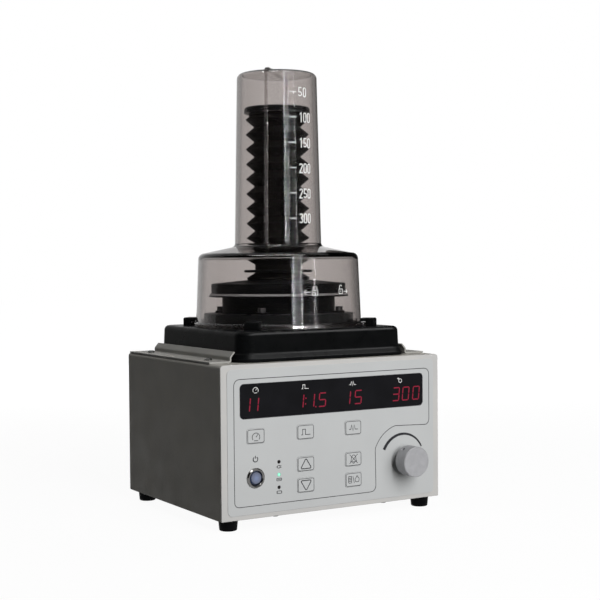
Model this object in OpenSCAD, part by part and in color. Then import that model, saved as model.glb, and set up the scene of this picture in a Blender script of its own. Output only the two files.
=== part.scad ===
// Bench-top bellows ventilator for animal anaesthesia: a sheet-metal control cabinet with a
// membrane front, and a standing bellows under a smoked clear housing on a moulded base.
// Millimetres, +Z up, front towards -Y, origin on the table under the middle of the cabinet.

/* [Cabinet] */
// Width of the cabinet
cabinet_w = 232; // [215:1:270]
// Depth of the cabinet over its front and rear panels
cabinet_d = 196; // [186:1:240]
// Height of the cabinet without its feet
cabinet_h = 135; // [125:1:170]
// Thickness of the sheet that the cover and the tray are bent from
sheet_t = 1.5; // [1:0.1:2]
// Thickness of the front and rear panels
panel_t = 2; // [1.5:0.1:3]
// Outside radius of the cover's bends and of the panels' upper corners
bend_r = 3; // [2.2:0.1:5]
// Width of the turned-in flanges that the tray is screwed to
flange_w = 14; // [12:0.5:18]
// Height of a rubber foot
foot_h = 10; // [8:0.5:16]
// Diameter of a foot where it meets the tray
foot_top_d = 17.5; // [15:0.5:22]
// Diameter of a foot where it meets the table
foot_bottom_d = 15.5; // [14:0.5:20]
// Distance from the cabinet's sides to the middle of a foot
foot_inset = 13; // [12:0.5:20]

/* [Front] */
// Painted border left round the printed overlay, left and right
overlay_border_x = 6; // [4:0.5:9]
// Painted border left round the printed overlay, above and below
overlay_border_z = 4; // [3:0.5:8]
// Corner radius of the overlay
overlay_r = 4.5; // [2:0.5:8]
// Thickness of the overlay
overlay_t = 0.5; // [0.3:0.1:1]
// Distance from the cabinet's sides to the display window
window_side = 18.8; // [15:0.2:25]
// Distance from the cabinet's top to the display window
window_drop = 17.4; // [14:0.2:24]
// Height of the display window
window_h = 29.6; // [24:0.2:34]
// Corner radius of the display window
window_r = 3.5; // [1:0.5:6]
// Width of a key
key_w = 17.7; // [14:0.1:22]
// Height of a key
key_h = 13; // [10:0.1:15]
// Corner radius of a key
key_r = 2; // [1:0.5:4]
// How far a key stands proud of the overlay
key_proud = 0.6; // [0.3:0.1:1.2]
// How far a key travels
key_travel = 0.5; // [0.3:0.1:0.8]
// Middle of the left key column, from the middle of the panel
key_first_x = -82.3; // [-86:0.1:-76]
// Distance between key columns
key_pitch_x = 50.7; // [45:0.1:54]
// Gap between the display window and the middle of the upper key row
key_upper_gap = 15.9; // [12:0.1:20]
// Height of the middle key row above the cabinet's underside
key_middle_z = 43.5; // [40:0.1:48]
// Height of the lower key row above the cabinet's underside
key_lower_z = 24.6; // [20:0.1:27]
// Middle of the power button, from the middle of the panel
power_x = -82.7; // [-90:0.1:-76]
// Height of the power button above the cabinet's underside
power_z = 35.6; // [30:0.1:42]
// Diameter of the power button's bright ring
bezel_d = 17.6; // [16.6:0.1:20]
// Diameter of the power button's cap
cap_d = 11.6; // [9:0.1:12]
// How far the power button travels
power_travel = 2; // [1:0.1:3]
// Middle of the indicator lamps, from the middle of the panel
lamp_x = -59.1; // [-62:0.1:-50]
// Height of the middle indicator lamp above the cabinet's underside
lamp_z = 36.4; // [32:0.1:42]
// Distance between indicator lamps
lamp_pitch = 11.25; // [8:0.25:13]
// Diameter of an indicator lamp
lamp_d = 3; // [2.5:0.1:5]
// Middle of the volume knob, from the middle of the panel
knob_x = 74.5; // [66:0.1:80]
// Height of the volume knob above the cabinet's underside
knob_z = 38.5; // [32:0.1:46]
// Diameter of the volume knob
knob_d = 28; // [22:0.5:34]
// Length of the volume knob
knob_len = 14.5; // [11:0.5:20]
// Gap between the overlay and the back of the knob
knob_gap = 7.5; // [6.5:0.5:10]
// Diameter of the valve stem that carries the knob
stem_d = 6; // [5:0.5:7]

/* [Bellows base] */
// Width of the moulded base block
base_w = 176; // [170:1:190]
// Depth of the moulded base block
base_d = 172; // [170:1:180]
// How far the base stands behind the cabinet's middle
base_back = 2; // [0:0.5:3]
// Height of the moulded base block
base_h = 27; // [26:0.5:32]
// Radius of the block's upright corners
base_corner_r = 15; // [10:0.5:18]
// Radius of the block's upper edges
base_edge_r = 4.5; // [2:0.5:5]
// How far the block's sides lean in from bottom to top
base_draft = 1; // [0.5:0.1:2]
// Wall of the block, which is open below
base_wall = 4.5; // [3:0.5:6]
// How far the block's lower step stands out
base_step_w = 1.5; // [1:0.1:2.5]
// Height of the lower step
base_step_h = 7.4; // [6:0.1:10]
// How far the foot lip stands out past the step
base_lip_w = 1.8; // [1:0.1:3]
// Height of the foot lip
base_lip_h = 3; // [2:0.1:4.5]
// How far the side tongues under the rails stand out past the foot lip
base_tongue_w = 1.8; // [0.5:0.1:3]
// Thickness of the clamp rails' sheet
rail_t = 1.5; // [1:0.1:2]
// Length of a clamp rail
rail_len = 172; // [140:1:180]
// How much shorter a rail's upright part is at the rear
rail_cut = 14; // [4:1:30]
// Upright part of a rail's section
rail_rise = 4.6; // [4:0.1:6]
// How far a rail's leaning lip goes up past the upright part
rail_lip_h = 4.6; // [3:0.1:6]
// How far a rail's leaning lip goes in
rail_lip_in = 3.8; // [1.5:0.1:4.2]

/* [Housing and bellows] */
// Radius of the housing's lower cylinder at its foot
drum_r = 79.6; // [76:0.1:80]
// Radius of the housing's lower cylinder at its shoulder
drum_top_r = 76.9; // [73:0.1:78]
// Radius of the housing's tube at its foot
tube_r = 41.7; // [40:0.1:46]
// Radius of the housing's tube at its top
tube_top_r = 38.3; // [37:0.1:41]
// Wall of the housing
housing_wall = 4; // [3:0.1:4.5]
// Height of the drum's shoulder above the cabinet's top
shoulder_h = 96; // [92:0.5:104]
// How far the shoulder climbs from the drum's edge to the tube
shoulder_climb = 7.5; // [4:0.5:12]
// Radius of the drum's shoulder edge
shoulder_r = 6; // [4.6:0.1:9]
// Height of the housing's top above the cabinet's top
housing_h = 269; // [267:1:300]
// Width of the ridge that runs up the housing's tube and over its top
ridge_w = 3.2; // [2:0.1:5]
// How far the ridge stands out from the tube
ridge_out = 1; // [0.6:0.1:2]
// How far the ridge stands up from the top
ridge_top = 1.9; // [1:0.1:3]
// Radius of the housing's top edge
crown_r = 5; // [4.6:0.1:9]
// How far the housing twists to unlock, in degrees
twist_deg = 22; // [18:1:26]
// Width of a locking lug on the base
lug_w = 14; // [10:0.5:18]
// How far a locking lug stands up from the base
lug_h = 7.7; // [7:0.1:10]
// Radius of the bellows over its folds
fold_r = 30.3; // [27:0.1:31]
// Radius of the bellows in its valleys
valley_r = 22.3; // [21.6:0.1:24]
// Wall of the bellows
bellows_wall = 1.2; // [0.8:0.1:1.4]
// Number of folds that hang at the full pitch
fold_n = 9; // [7:1:10]
// Pitch of those folds
fold_pitch = 14.2; // [12:0.1:14.6]
// Pitch of the two folds that sag together at the foot
sag_pitch = 10.2; // [9:0.1:12]
// Height of the lowest fold above the bellows plate
low_fold_h = 19.8; // [18:0.1:23]
// Radius of the bellows' top disc
top_disc_r = 31.6; // [31:0.1:33]
// Thickness of the bellows' top disc
top_disc_t = 5.5; // [4:0.1:8]
// Radius of the ring that holds the bellows down
ring_r = 32.9; // [31:0.1:36]
// Thickness of that ring
ring_t = 2.4; // [2:0.1:2.8]
// Radius of the bellows plate
plate_r = 64.8; // [58:0.1:67]
// Thickness of the bellows plate at its rim
plate_t = 9; // [7:0.1:12]
// How far the plate's top cones up
plate_cone = 3; // [2:0.1:5]
// Radius of the valve chamber
chamber_r = 54.4; // [50:0.1:56]
// Height of the valve chamber up to its lip
chamber_h = 15.5; // [13.5:0.5:20.5]
// Radius of the valve chamber's lip
chamber_lip_r = 67.2; // [66:0.1:69]
// Thickness of the valve chamber's lip
chamber_lip_t = 3.5; // [3:0.1:6]
// Radius of the round boss under the valve chamber
boss_r = 72; // [69.5:0.1:72.5]
// Height of that boss above the base block
boss_h = 13; // [12:0.1:16]
// Lift of the pop-off disc
popoff_lift = 3; // [2:0.1:4]

/* [Connections] */
// Outside diameter of the breathing circuit port
circuit_port_d = 22; // [20:0.1:23]
// Outside diameter of the scavenging port
scavenge_port_d = 19; // [18:0.1:20]
// Distance from the middle to each of those ports
port_x = 30; // [28:0.5:34]
// Outside diameter of the drive gas inlet's stub
gas_stub_d = 14.2; // [12:0.1:16]
// Height of the rear fittings above the cabinet's underside
rear_z = 38; // [34:0.5:46]

/* [Hidden] */
$fn = 96;

// Clearances
fit_gap = 0.05;
slide_gap = 0.3;
hole_gap = 0.2;
foot_screw_gap = 1.5;
end_flange_gap = 1;

// Main levels and faces
z_bottom = foot_h;
z_top = foot_h + cabinet_h;
y_front = -cabinet_d / 2;
y_rear = cabinet_d / 2;
reach = knob_gap + knob_len + overlay_t;
y_reach = y_rear + reach;

// Small screws, all of one size
screw_r = 2;
head_r = 3.6;
head_h = 2.2;
screw_end = 1;
cap_head_r = 3.5;
cap_head_h = 4;
cap_socket_r = 1.7;
cap_socket_deep = 2;

// Front layout, heights from the cabinet's underside
window_w = cabinet_w - 2 * window_side;
window_z = cabinet_h - window_drop - window_h / 2;
window_flange = 3;
window_flange_t = 2;
key_upper_z = cabinet_h - window_drop - window_h - key_upper_gap;
key_flange = 1.5;
key_flange_t = 1;
switch_w = 6;
switch_h = 3.5;
switch_clear = 0.3;
switch_gap = key_travel + switch_clear;
board_t = 1.6;
key_board_y = panel_t + key_flange_t + switch_gap + switch_h;
digit_pitch = 12.5;
digit_case_h = 19;
digit_case_t = 8;
digit_drop = 3.1;
digit_z = window_z - digit_drop;
digit_margin = 1;
ratio_shift = 7;
display_board_y = panel_t + window_flange_t + digit_case_t;
standoff_r = 2.5;
board_edge = 5;
post_clear = 1;
display_margin = window_flange + standoff_r + post_clear;
display_post_z = window_h / 2 + display_margin;
display_post_x = 54;

// Key places, as column number and height
KEYS = [[0, key_upper_z], [1, key_upper_z], [2, key_upper_z], [1, key_middle_z], [1, key_lower_z],
  [2, key_middle_z], [2, key_lower_z]];
function key_x(i) = key_first_x + KEYS[i][0] * key_pitch_x;
function key_z(i) = KEYS[i][1];

// Power button, lengths outwards from the overlay
bezel_proud = 2;
bezel_edge = 0.7;
barrel_r = 8;
cap_step = 3;
cap_flange = 0.7;
cap_flange_t = 2;
cap_sunk = 0.3;
spring_room = 12;
barrel_end = 3;
barrel_len = cap_step + cap_flange_t + power_travel + spring_room + barrel_end;
power_nut_t = 4;
power_nut_r = 11;

// Flow valve, lengths outwards from the overlay
bushing_wall = 2;
bushing_r = stem_d / 2 + bushing_wall;
bushing_out = 5.5;
flow_nut_wall = 3;
flow_nut_r = bushing_r + flow_nut_wall;
flow_nut_t = 3;
flow_body_w = 26;
flow_body_len = 34;
stem_in = 24;
knob_cap = 3;
knob_edge = 1;
set_screw_r = 1.5;
set_screw_len = 7;
set_screw_angle = 125;

// Base and rails, heights from the cabinet's top
step_x = base_w / 2 + base_step_w;
lip_x = step_x + base_lip_w;
rail_gap = 0.4;
tongue_x = lip_x + base_tongue_w;
tongue_h = rail_rise - 0.2;
rail_in_x = tongue_x + rail_gap;
rail_side_gap = 0.8;
rail_out_x = cabinet_w / 2 - rail_side_gap;
rail_screw_x = (rail_in_x + rail_t + rail_out_x) / 2;
rail_y = y_rear - panel_t - rail_len / 2;
rail_screw_front = 22;
rail_screw_rear = 28;
rail_screw_y = [rail_screw_front - rail_len / 2, rail_len / 2 - rail_screw_rear];
seal_t = 1.6;
seal_sunk = 1.2;
seal_in = 1;
seal_r = drum_r - seal_in;
seal_w = 3;
rim_z = base_h + seal_t - seal_sunk;
rim_t = 3.5;
rim_out = 2.4;
rim_r = drum_r + rim_out;
tab_out = 4.5;
tab_r = rim_r + tab_out;
tab_clear_deg = 7;
tab_deg = twist_deg - tab_clear_deg;
lug_gap = 0.5;
lug_over = 0.4;
lug_in_r = rim_r - lug_over;
lug_heel_r = tab_r + lug_gap;
lug_heel_t = 8;
lug_out_r = lug_heel_r + lug_heel_t;
channel_z = 13;
circuit_r = circuit_port_d / 2;
scavenge_r = scavenge_port_d / 2;
port_wall = 2.5;
collar_r = 12.4;
collar_t = 3;
pad_out = 0.8;
pad_y = base_d / 2 + base_step_w + base_lip_w + pad_out;
port_len = y_reach - base_back - pad_y;
pad_edge = 1;
pad_w = 2 * (collar_r + pad_edge);
spigot_in = 8;
spigot_step = 1;

// Bellows, heights from the cabinet's top
boss_z = base_h + boss_h;
ear_out = 10;
ear_w = 10;
ear_t = 2;
ear_root = 2;
ear_screw_r = chamber_r + ear_out / 2;
lip_z = boss_z + chamber_h;
plate_z = lip_z + chamber_lip_t;
seat_z = plate_z + plate_t + plate_cone;
seat_edge = 3;
seat_flat_r = fold_r + seat_edge;
throat_r = 14;
spigot_r = valley_r - bellows_wall - slide_gap;
cuff_t = 1.2;
cuff_h = 2.5;
ring_rise = 7.5;
ring_z = seat_z + ring_rise;
ring_room = 0.4;
low_fold_z = seat_z + low_fold_h;
sag_n = 2;
fold_total = fold_n + sag_n;
top_fold_z = low_fold_z + sag_n * sag_pitch + (fold_n - 1) * fold_pitch;
disc_rise = 6.1;
disc_z = top_fold_z + disc_rise;
neck_in = 3.3;
neck_r = fold_r - neck_in;
function fold_z(i) = low_fold_z + min(i, sag_n) * sag_pitch + max(i - sag_n, 0) * fold_pitch;
seat_rise = 6;
popoff_over = 1.5;
popoff_r = scavenge_r + popoff_over;
popoff_t = 2.5;
popoff_stem_r = 2;
guide_r = 3.6;
guide_h = 6;
guide_drop = 1;
popoff_stem_len = popoff_lift + guide_h + 2 * guide_drop;

// Inside the cabinet, heights from the tray
z_floor = z_bottom + sheet_t;
drive_a = 30;
drive_at = (chamber_r + boss_r) / 2;
drive_x = drive_at * cos(drive_a);
drive_y = base_back + drive_at * sin(drive_a);
drive_tube_r = 6;
drive_bore_r = 4;
manifold_w = 66;
manifold_d = 40;
manifold_h = 42;
drive_in_manifold = 20;
manifold_x = drive_x - drive_in_manifold;
manifold_y = drive_y - manifold_d / 2;
solenoid_w = 17;
solenoid_d = 26;
solenoid_h = 38;
solenoid_gap = 2;
solenoid_x = drive_x + drive_tube_r + solenoid_gap;
gas_x = manifold_x + manifold_w / 2;
gas_bore_r = 3;
gas_hex_wall = 4;
gas_hex_r = gas_stub_d / 2 + gas_hex_wall;
gas_hex_t = 6;
gas_out = 20;
flow_tube_r = 4;
flow_bore_r = 2.5;
flow_tube_drop = 8;
main_w = 78;
main_d = 88;
main_x = -12;
main_y = 20;
post_h = 8;
post_r = 3;
post_in = 6;
sounder_r = 12;
sounder_h = 10;
unit_w = 42;
unit_gap = 4;
unit_x = -cabinet_w / 2 + flange_w + end_flange_gap;
unit_h = 36;
battery_d = 54;
battery_gap = 4.5;
battery_y = y_front - overlay_t + barrel_len + battery_gap;
power_unit_y = battery_y + battery_d + unit_gap;

// Power inlet
inlet_x = -74;
inlet_flange_w = 48;
inlet_flange_h = 24;
inlet_flange_t = 3;
inlet_w = 24;
inlet_h = 16.5;
inlet_wall = 1.5;
inlet_root = 1;
inlet_deep = 17;
inlet_back = y_rear - inlet_deep - inlet_wall + inlet_root;
inlet_pin_w = 2;
inlet_pin_h = 4;
inlet_pin_len = 10;
inlet_pin_x = 7;
inlet_pin_z = 2;
unit_inlet_gap = 8.5;
power_unit_d = inlet_back - unit_inlet_gap - power_unit_y;

// Shared shapes

module round_rect(w, h, r) {
  square([w - 2 * r, h], center = true);
  square([w, h - 2 * r], center = true);
  for (x = [-1, 1], y = [-1, 1])
    translate([x * (w / 2 - r), y * (h / 2 - r)])
      circle(r);
}

// Upright section with its two upper corners rounded, from height z0 to z1
module arch(w, z0, z1, r) {
  translate([-w / 2, z0])
    square([w, z1 - z0 - r]);
  translate([-w / 2 + r, z0])
    square([w - 2 * r, z1 - z0]);
  for (x = [-1, 1])
    translate([x * (w / 2 - r), z1 - r])
      circle(r);
}

// Moves children drawn in x and height to a plane behind the front face, extruding forwards
module at_front(behind) {
  translate([0, y_front + behind, z_bottom])
    rotate([90, 0, 0])
      children();
}

// The same, starting at the overlay's outer face
module at_overlay(x, z) {
  at_front(-overlay_t)
    translate([x, z, 0])
      children();
}

module at_rear(x, z, y) {
  translate([x, y, z])
    rotate([-90, 0, 0])
      children();
}

module on_cabinet() {
  translate([0, base_back, z_top])
    children();
}

module tube(r, bore, h) {
  difference() {
    cylinder(r = r, h = h);
    translate([0, 0, -1])
      cylinder(r = bore, h = h + 2);
  }
}

// Pan-head screw with its head above z = 0 and its shank below
module screw(shank) {
  cylinder(r = head_r, h = head_h);
  translate([0, 0, -shank])
    cylinder(r = screw_r, h = shank + 0.1);
}

function arc(c, r, a0, a1, n) =
  [for (i = [0:n]) let (a = a0 + (a1 - a0) * i / n) [c[0] + r * cos(a), c[1] + r * sin(a)]];

// Places shared by screws and their holes

module at_feet() {
  for (x = [-1, 1], y = [-1, 1])
    translate([x * (cabinet_w / 2 - foot_inset), y * (cabinet_d / 2 - foot_inset), 0])
      children();
}

side_screw_x = cabinet_w / 2 - flange_w / 2;
side_screw_y = cabinet_d / 4;
end_screw_x = cabinet_w / 4;
end_screw_y = cabinet_d / 2 - panel_t - flange_w / 2;

module at_side_screws() {
  for (x = [-1, 1], y = [-1, 1])
    translate([x * side_screw_x, y * side_screw_y, z_bottom])
      children();
}

module at_end_screws(sides) {
  for (x = [-1, 1], y = sides)
    translate([x * end_screw_x, y * end_screw_y, z_bottom])
      children();
}

module at_rail_screws(side) {
  for (y = rail_screw_y)
    translate([side * rail_screw_x, rail_y + y, z_top + rail_t])
      children();
}

tab_w = 12;
tab_root = sheet_t / 2;
rear_screw_x = cabinet_w / 2 - sheet_t - tab_w / 2;
rear_screw_drop = 20;
rear_screw_z = z_top - rear_screw_drop;

// Cabinet

module cover_section() {
  difference() {
    arch(cabinet_w, sheet_t, cabinet_h, bend_r);
    arch(cabinet_w - 2 * sheet_t, 2 * sheet_t, cabinet_h - sheet_t, bend_r - sheet_t);
    translate([-cabinet_w / 2 + flange_w, 0])
      square([cabinet_w - 2 * flange_w, 3 * sheet_t]);
  }
}

module top_cover() {
  cover_d = cabinet_d - 2 * panel_t;
  tab_y = y_rear - panel_t - sheet_t;
  color([0.66, 0.64, 0.6])
    difference() {
      union() {
        translate([0, cover_d / 2, z_bottom])
          rotate([90, 0, 0])
            linear_extrude(cover_d)
              cover_section();
        for (x = [-1, 1])
          translate([x * (rear_screw_x + tab_root / 2), tab_y + sheet_t / 2, rear_screw_z])
            cube([tab_w + tab_root, sheet_t, tab_w], center = true);
      }
      at_side_screws()
        cylinder(r = screw_r + hole_gap, h = 4 * sheet_t);
      at_feet()
        translate([0, 0, z_bottom])
          cylinder(r = screw_r + foot_screw_gap, h = 4 * sheet_t);
      for (side = [-1, 1])
        at_rail_screws(side)
          translate([0, 0, -rail_t - 2 * sheet_t])
            cylinder(r = screw_r + hole_gap, h = 3 * sheet_t);
      for (x = [-1, 1])
        at_rear(x * rear_screw_x, rear_screw_z, tab_y - 1)
          cylinder(r = screw_r + hole_gap, h = sheet_t + 2);
      translate([drive_x, drive_y, z_top - 2 * sheet_t])
        cylinder(r = drive_tube_r + 1, h = 3 * sheet_t);
    }
}

module bottom_tray() {
  tray_d = cabinet_d - 2 * panel_t;
  color([0.5, 0.49, 0.46])
    difference() {
      translate([-cabinet_w / 2, -tray_d / 2, z_bottom])
        cube([cabinet_w, tray_d, sheet_t]);
      at_side_screws()
        translate([0, 0, -1])
          cylinder(r = screw_r + hole_gap, h = sheet_t + 2);
      at_end_screws([-1, 1])
        translate([0, 0, -1])
          cylinder(r = screw_r + hole_gap, h = sheet_t + 2);
      at_feet()
        translate([0, 0, z_bottom - 1])
          cylinder(r = screw_r + hole_gap, h = sheet_t + 2);
    }
}

// Turned-in lower flange of an end panel, on the tray
module end_flange(side) {
  w = cabinet_w - 2 * flange_w - 2 * end_flange_gap;
  root = panel_t / 2;
  y = cabinet_d / 2 - panel_t - flange_w / 2;
  difference() {
    translate([0, side * (y + root / 2), z_floor + panel_t / 2])
      cube([w, flange_w + root, panel_t], center = true);
    at_end_screws([side])
      cylinder(r = screw_r + hole_gap, h = sheet_t + panel_t + 1);
  }
}

module front_panel() {
  color([0.7, 0.68, 0.65]) {
    at_front(panel_t)
      linear_extrude(panel_t)
        difference() {
          arch(cabinet_w, 0, cabinet_h, bend_r);
          front_cutouts();
        }
    end_flange(-1);
  }
}

// Openings that the front panel and its overlay share
module front_cutouts() {
  translate([0, window_z])
    round_rect(window_w, window_h, window_r);
  for (i = [0:len(KEYS) - 1])
    translate([key_x(i), key_z(i)])
      round_rect(key_w + 2 * slide_gap, key_h + 2 * slide_gap, key_r + slide_gap);
  for (i = [-1:1])
    translate([lamp_x, lamp_z + i * lamp_pitch])
      circle(lamp_d / 2 + fit_gap);
  translate([power_x, power_z])
    circle(barrel_r + fit_gap);
  translate([knob_x, knob_z])
    circle(bushing_r + fit_gap);
}

module rear_panel() {
  color([0.66, 0.64, 0.6]) {
    difference() {
      translate([0, y_rear, z_bottom])
        rotate([90, 0, 0])
          linear_extrude(panel_t)
            difference() {
              arch(cabinet_w, 0, cabinet_h, bend_r);
              translate([inlet_x, rear_z])
                square([inlet_w + 2 * inlet_wall, inlet_h + 2 * inlet_wall], center = true);
              translate([gas_x, rear_z])
                circle(gas_stub_d / 2 + fit_gap);
            }
      for (x = [-1, 1])
        at_rear(x * rear_screw_x, rear_screw_z, y_rear - panel_t - 1)
          cylinder(r = screw_r + hole_gap, h = panel_t + 2);
    }
    end_flange(1);
  }
}

module cabinet_screws() {
  shank = panel_t + sheet_t + screw_end;
  color([0.75, 0.75, 0.76]) {
    at_side_screws()
      mirror([0, 0, 1])
        screw(shank);
    at_end_screws([-1, 1])
      mirror([0, 0, 1])
        screw(shank);
    for (x = [-1, 1])
      at_rear(x * rear_screw_x, rear_screw_z, y_rear)
        screw(shank);
  }
}

foot_recess_r = head_r + 1;
foot_web = 3;

module feet() {
  color([0.06, 0.06, 0.06])
    at_feet()
      difference() {
        cylinder(d1 = foot_bottom_d, d2 = foot_top_d, h = foot_h);
        translate([0, 0, -1])
          cylinder(r = screw_r + hole_gap, h = foot_h + 2);
        translate([0, 0, -1])
          cylinder(r = foot_recess_r, h = foot_h - foot_web + 1);
      }
}

module foot_screws() {
  color([0.75, 0.75, 0.76])
    at_feet()
      translate([0, 0, foot_h - foot_web])
        mirror([0, 0, 1])
          screw(foot_web + sheet_t + 2);
}

// Front panel parts

module front_overlay() {
  color([0.74, 0.76, 0.77])
    at_front(0)
      linear_extrude(overlay_t)
        difference() {
          translate([0, cabinet_h / 2])
            round_rect(cabinet_w - 2 * overlay_border_x, cabinet_h - 2 * overlay_border_z, overlay_r);
          front_cutouts();
        }
}

module display_window() {
  color([0.1, 0.1, 0.12]) {
    at_front(panel_t + window_flange_t)
      linear_extrude(window_flange_t + panel_t + overlay_t)
        translate([0, window_z])
          round_rect(window_w - 2 * fit_gap, window_h - 2 * fit_gap, window_r - fit_gap);
    at_front(panel_t + window_flange_t)
      linear_extrude(window_flange_t)
        translate([0, window_z])
          round_rect(window_w + 2 * window_flange, window_h + 2 * window_flange, window_r);
  }
}

module display_board() {
  color([0.1, 0.3, 0.15])
    at_front(display_board_y + board_t)
      linear_extrude(board_t)
        translate([0, window_z])
          square([window_w, 2 * (display_post_z + standoff_r)], center = true);
}

// Case of n digits side by side, with its middle at x
module digit_case(x, n) {
  color([0.12, 0.02, 0.03])
    at_front(display_board_y)
      linear_extrude(digit_case_t)
        translate([x, digit_z])
          square([n * digit_pitch - fit_gap, digit_case_h], center = true);
}

module pressure_digits() { digit_case(digit_pitch - window_w / 2 + digit_margin, 2); }
module ratio_digits() { digit_case(key_first_x + key_pitch_x + ratio_shift, 3); }
module rate_digits() { digit_case(key_first_x + 2 * key_pitch_x, 2); }
module volume_digits() { digit_case(window_w / 2 - 1.5 * digit_pitch, 3); }

module key_board_outline() {
  right = key_x(2) + key_w / 2 + board_edge;
  left = key_x(0) - key_w / 2;
  inner = lamp_x - board_edge;
  top = key_upper_z + switch_w;
  low = key_lower_z - key_h / 2;
  step = key_upper_z - key_h / 2;
  translate([inner, low])
    square([right - inner, top - low]);
  translate([left, step])
    square([right - left, top - step]);
}

KEY_POSTS = [[key_first_x + 0.4 * key_pitch_x, key_upper_z], [key_first_x + 1.5 * key_pitch_x, key_upper_z],
  [key_first_x + 1.5 * key_pitch_x, key_lower_z]];

module key_board() {
  color([0.1, 0.3, 0.15]) {
    at_front(key_board_y + board_t)
      linear_extrude(board_t)
        key_board_outline();
    for (i = [0:len(KEYS) - 1])
      at_front(key_board_y + board_t)
        translate([key_x(i), key_z(i), 0])
          linear_extrude(board_t + switch_h)
            square(switch_w, center = true);
  }
}

module panel_standoffs() {
  color([0.7, 0.65, 0.45]) {
    for (p = KEY_POSTS)
      at_front(key_board_y)
        translate([p[0], p[1], 0])
          cylinder(r = standoff_r, h = key_board_y - panel_t);
    for (x = [-1, 1], z = [-1, 1])
      at_front(display_board_y)
        translate([x * display_post_x, window_z + z * display_post_z, 0])
          cylinder(r = standoff_r, h = display_board_y - panel_t);
  }
}

module key(i) {
  color([0.8, 0.81, 0.82])
    translate([key_x(i), 0, key_z(i)]) {
      at_front(panel_t + key_flange_t)
        linear_extrude(key_flange_t + panel_t + overlay_t + key_proud)
          round_rect(key_w, key_h, key_r);
      at_front(panel_t + key_flange_t)
        linear_extrude(key_flange_t)
          round_rect(key_w + 2 * key_flange, key_h + 2 * key_flange, key_r);
    }
}

module key_pressure() { key(0); }
module key_ratio() { key(1); }
module key_rate() { key(2); }
module key_up() { key(3); }
module key_down() { key(4); }
module key_mute() { key(5); }
module key_mode() { key(6); }

cap_r = cap_d / 2;
bezel_r = bezel_d / 2;

module power_bezel() {
  front_r = cap_r + slide_gap;
  rear_r = cap_r + cap_flange + slide_gap;
  color([0.8, 0.8, 0.82])
    at_overlay(power_x, power_z)
      rotate_extrude()
        polygon([[front_r, bezel_proud], [bezel_r - bezel_edge, bezel_proud],
          [bezel_r, bezel_proud - bezel_edge], [bezel_r, 0], [barrel_r, 0],
          [barrel_r, -barrel_len], [0, -barrel_len], [0, barrel_end - barrel_len],
          [rear_r, barrel_end - barrel_len], [rear_r, -cap_step], [front_r, -cap_step]]);
}

module power_cap() {
  color([0.85, 0.9, 0.98])
    at_overlay(power_x, power_z) {
      translate([0, 0, -cap_step - cap_flange_t])
        cylinder(r = cap_r, h = cap_step + cap_flange_t + bezel_proud - cap_sunk);
      translate([0, 0, -cap_step - cap_flange_t])
        cylinder(r = cap_r + cap_flange, h = cap_flange_t);
    }
}

module hex_nut(r, bore, t) {
  difference() {
    cylinder(r = r, h = t, $fn = 6);
    translate([0, 0, -1])
      cylinder(r = bore, h = t + 2);
  }
}

module power_nut() {
  color([0.75, 0.75, 0.76])
    at_overlay(power_x, power_z)
      translate([0, 0, -overlay_t - panel_t - power_nut_t])
        hex_nut(power_nut_r, barrel_r + fit_gap, power_nut_t);
}

lamp_proud = 0.3;

module lamp(i, tint) {
  color(tint)
    at_front(key_board_y)
      translate([lamp_x, lamp_z + i * lamp_pitch, 0]) {
        cylinder(d = lamp_d, h = key_board_y + overlay_t + lamp_proud);
        cylinder(d = lamp_d + 1, h = 1);
      }
}

module lamp_upper() { lamp(1, [0.05, 0.05, 0.05]); }
module lamp_middle() { lamp(0, [0.3, 0.9, 0.5]); }
module lamp_lower() { lamp(-1, [0.05, 0.05, 0.05]); }

module set_screw_axis(from_r) {
  translate([0, 0, knob_gap + knob_len / 2])
    rotate([0, 0, set_screw_angle])
      translate([from_r, 0, 0])
        rotate([0, 90, 0])
          children();
}

module knob() {
  r = knob_d / 2;
  back = knob_gap;
  front = knob_gap + knob_len;
  stem_r = stem_d / 2;
  color([0.68, 0.68, 0.7])
    at_overlay(knob_x, knob_z)
      difference() {
        rotate_extrude()
          polygon([[stem_r, back], [r - knob_edge, back], [r, back + knob_edge], [r, front - knob_edge],
            [r - knob_edge, front], [0, front], [0, front - knob_cap], [stem_r, front - knob_cap]]);
        set_screw_axis(0)
          cylinder(r = set_screw_r + fit_gap, h = r + 1);
      }
}

module knob_set_screw() {
  color([0.2, 0.2, 0.2])
    at_overlay(knob_x, knob_z)
      set_screw_axis(stem_d / 2 + fit_gap)
        cylinder(r = set_screw_r, h = set_screw_len);
}

module flow_valve_stem() {
  color([0.8, 0.8, 0.82])
    at_overlay(knob_x, knob_z)
      translate([0, 0, -stem_in])
        cylinder(d = stem_d, h = stem_in + knob_gap + knob_len - knob_cap);
}

module flow_valve_body() {
  back = overlay_t + panel_t;
  color([0.75, 0.62, 0.35])
    at_overlay(knob_x, knob_z)
      difference() {
        union() {
          translate([0, 0, -back - flow_body_len])
            linear_extrude(flow_body_len)
              square(flow_body_w, center = true);
          translate([0, 0, -back - 1])
            cylinder(r = bushing_r, h = back + 1 + bushing_out);
        }
        translate([0, 0, -stem_in - 2])
          cylinder(r = stem_d / 2 + fit_gap, h = stem_in + bushing_out + 3);
      }
}

module flow_valve_nut() {
  color([0.3, 0.3, 0.3])
    at_overlay(knob_x, knob_z)
      hex_nut(flow_nut_r, bushing_r + fit_gap, flow_nut_t);
}

// Bellows base and its clamp rails

// One upright corner of the base block, with its lean and its rounded upper edge
module base_corner() {
  r = base_corner_r;
  top = arc([r - base_draft - base_edge_r, base_h - base_edge_r], base_edge_r, 0, 90, 5);
  rotate_extrude($fn = 32)
    polygon(concat([[0, 0], [r, 0]], top, [[0, base_h]]));
}

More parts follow.
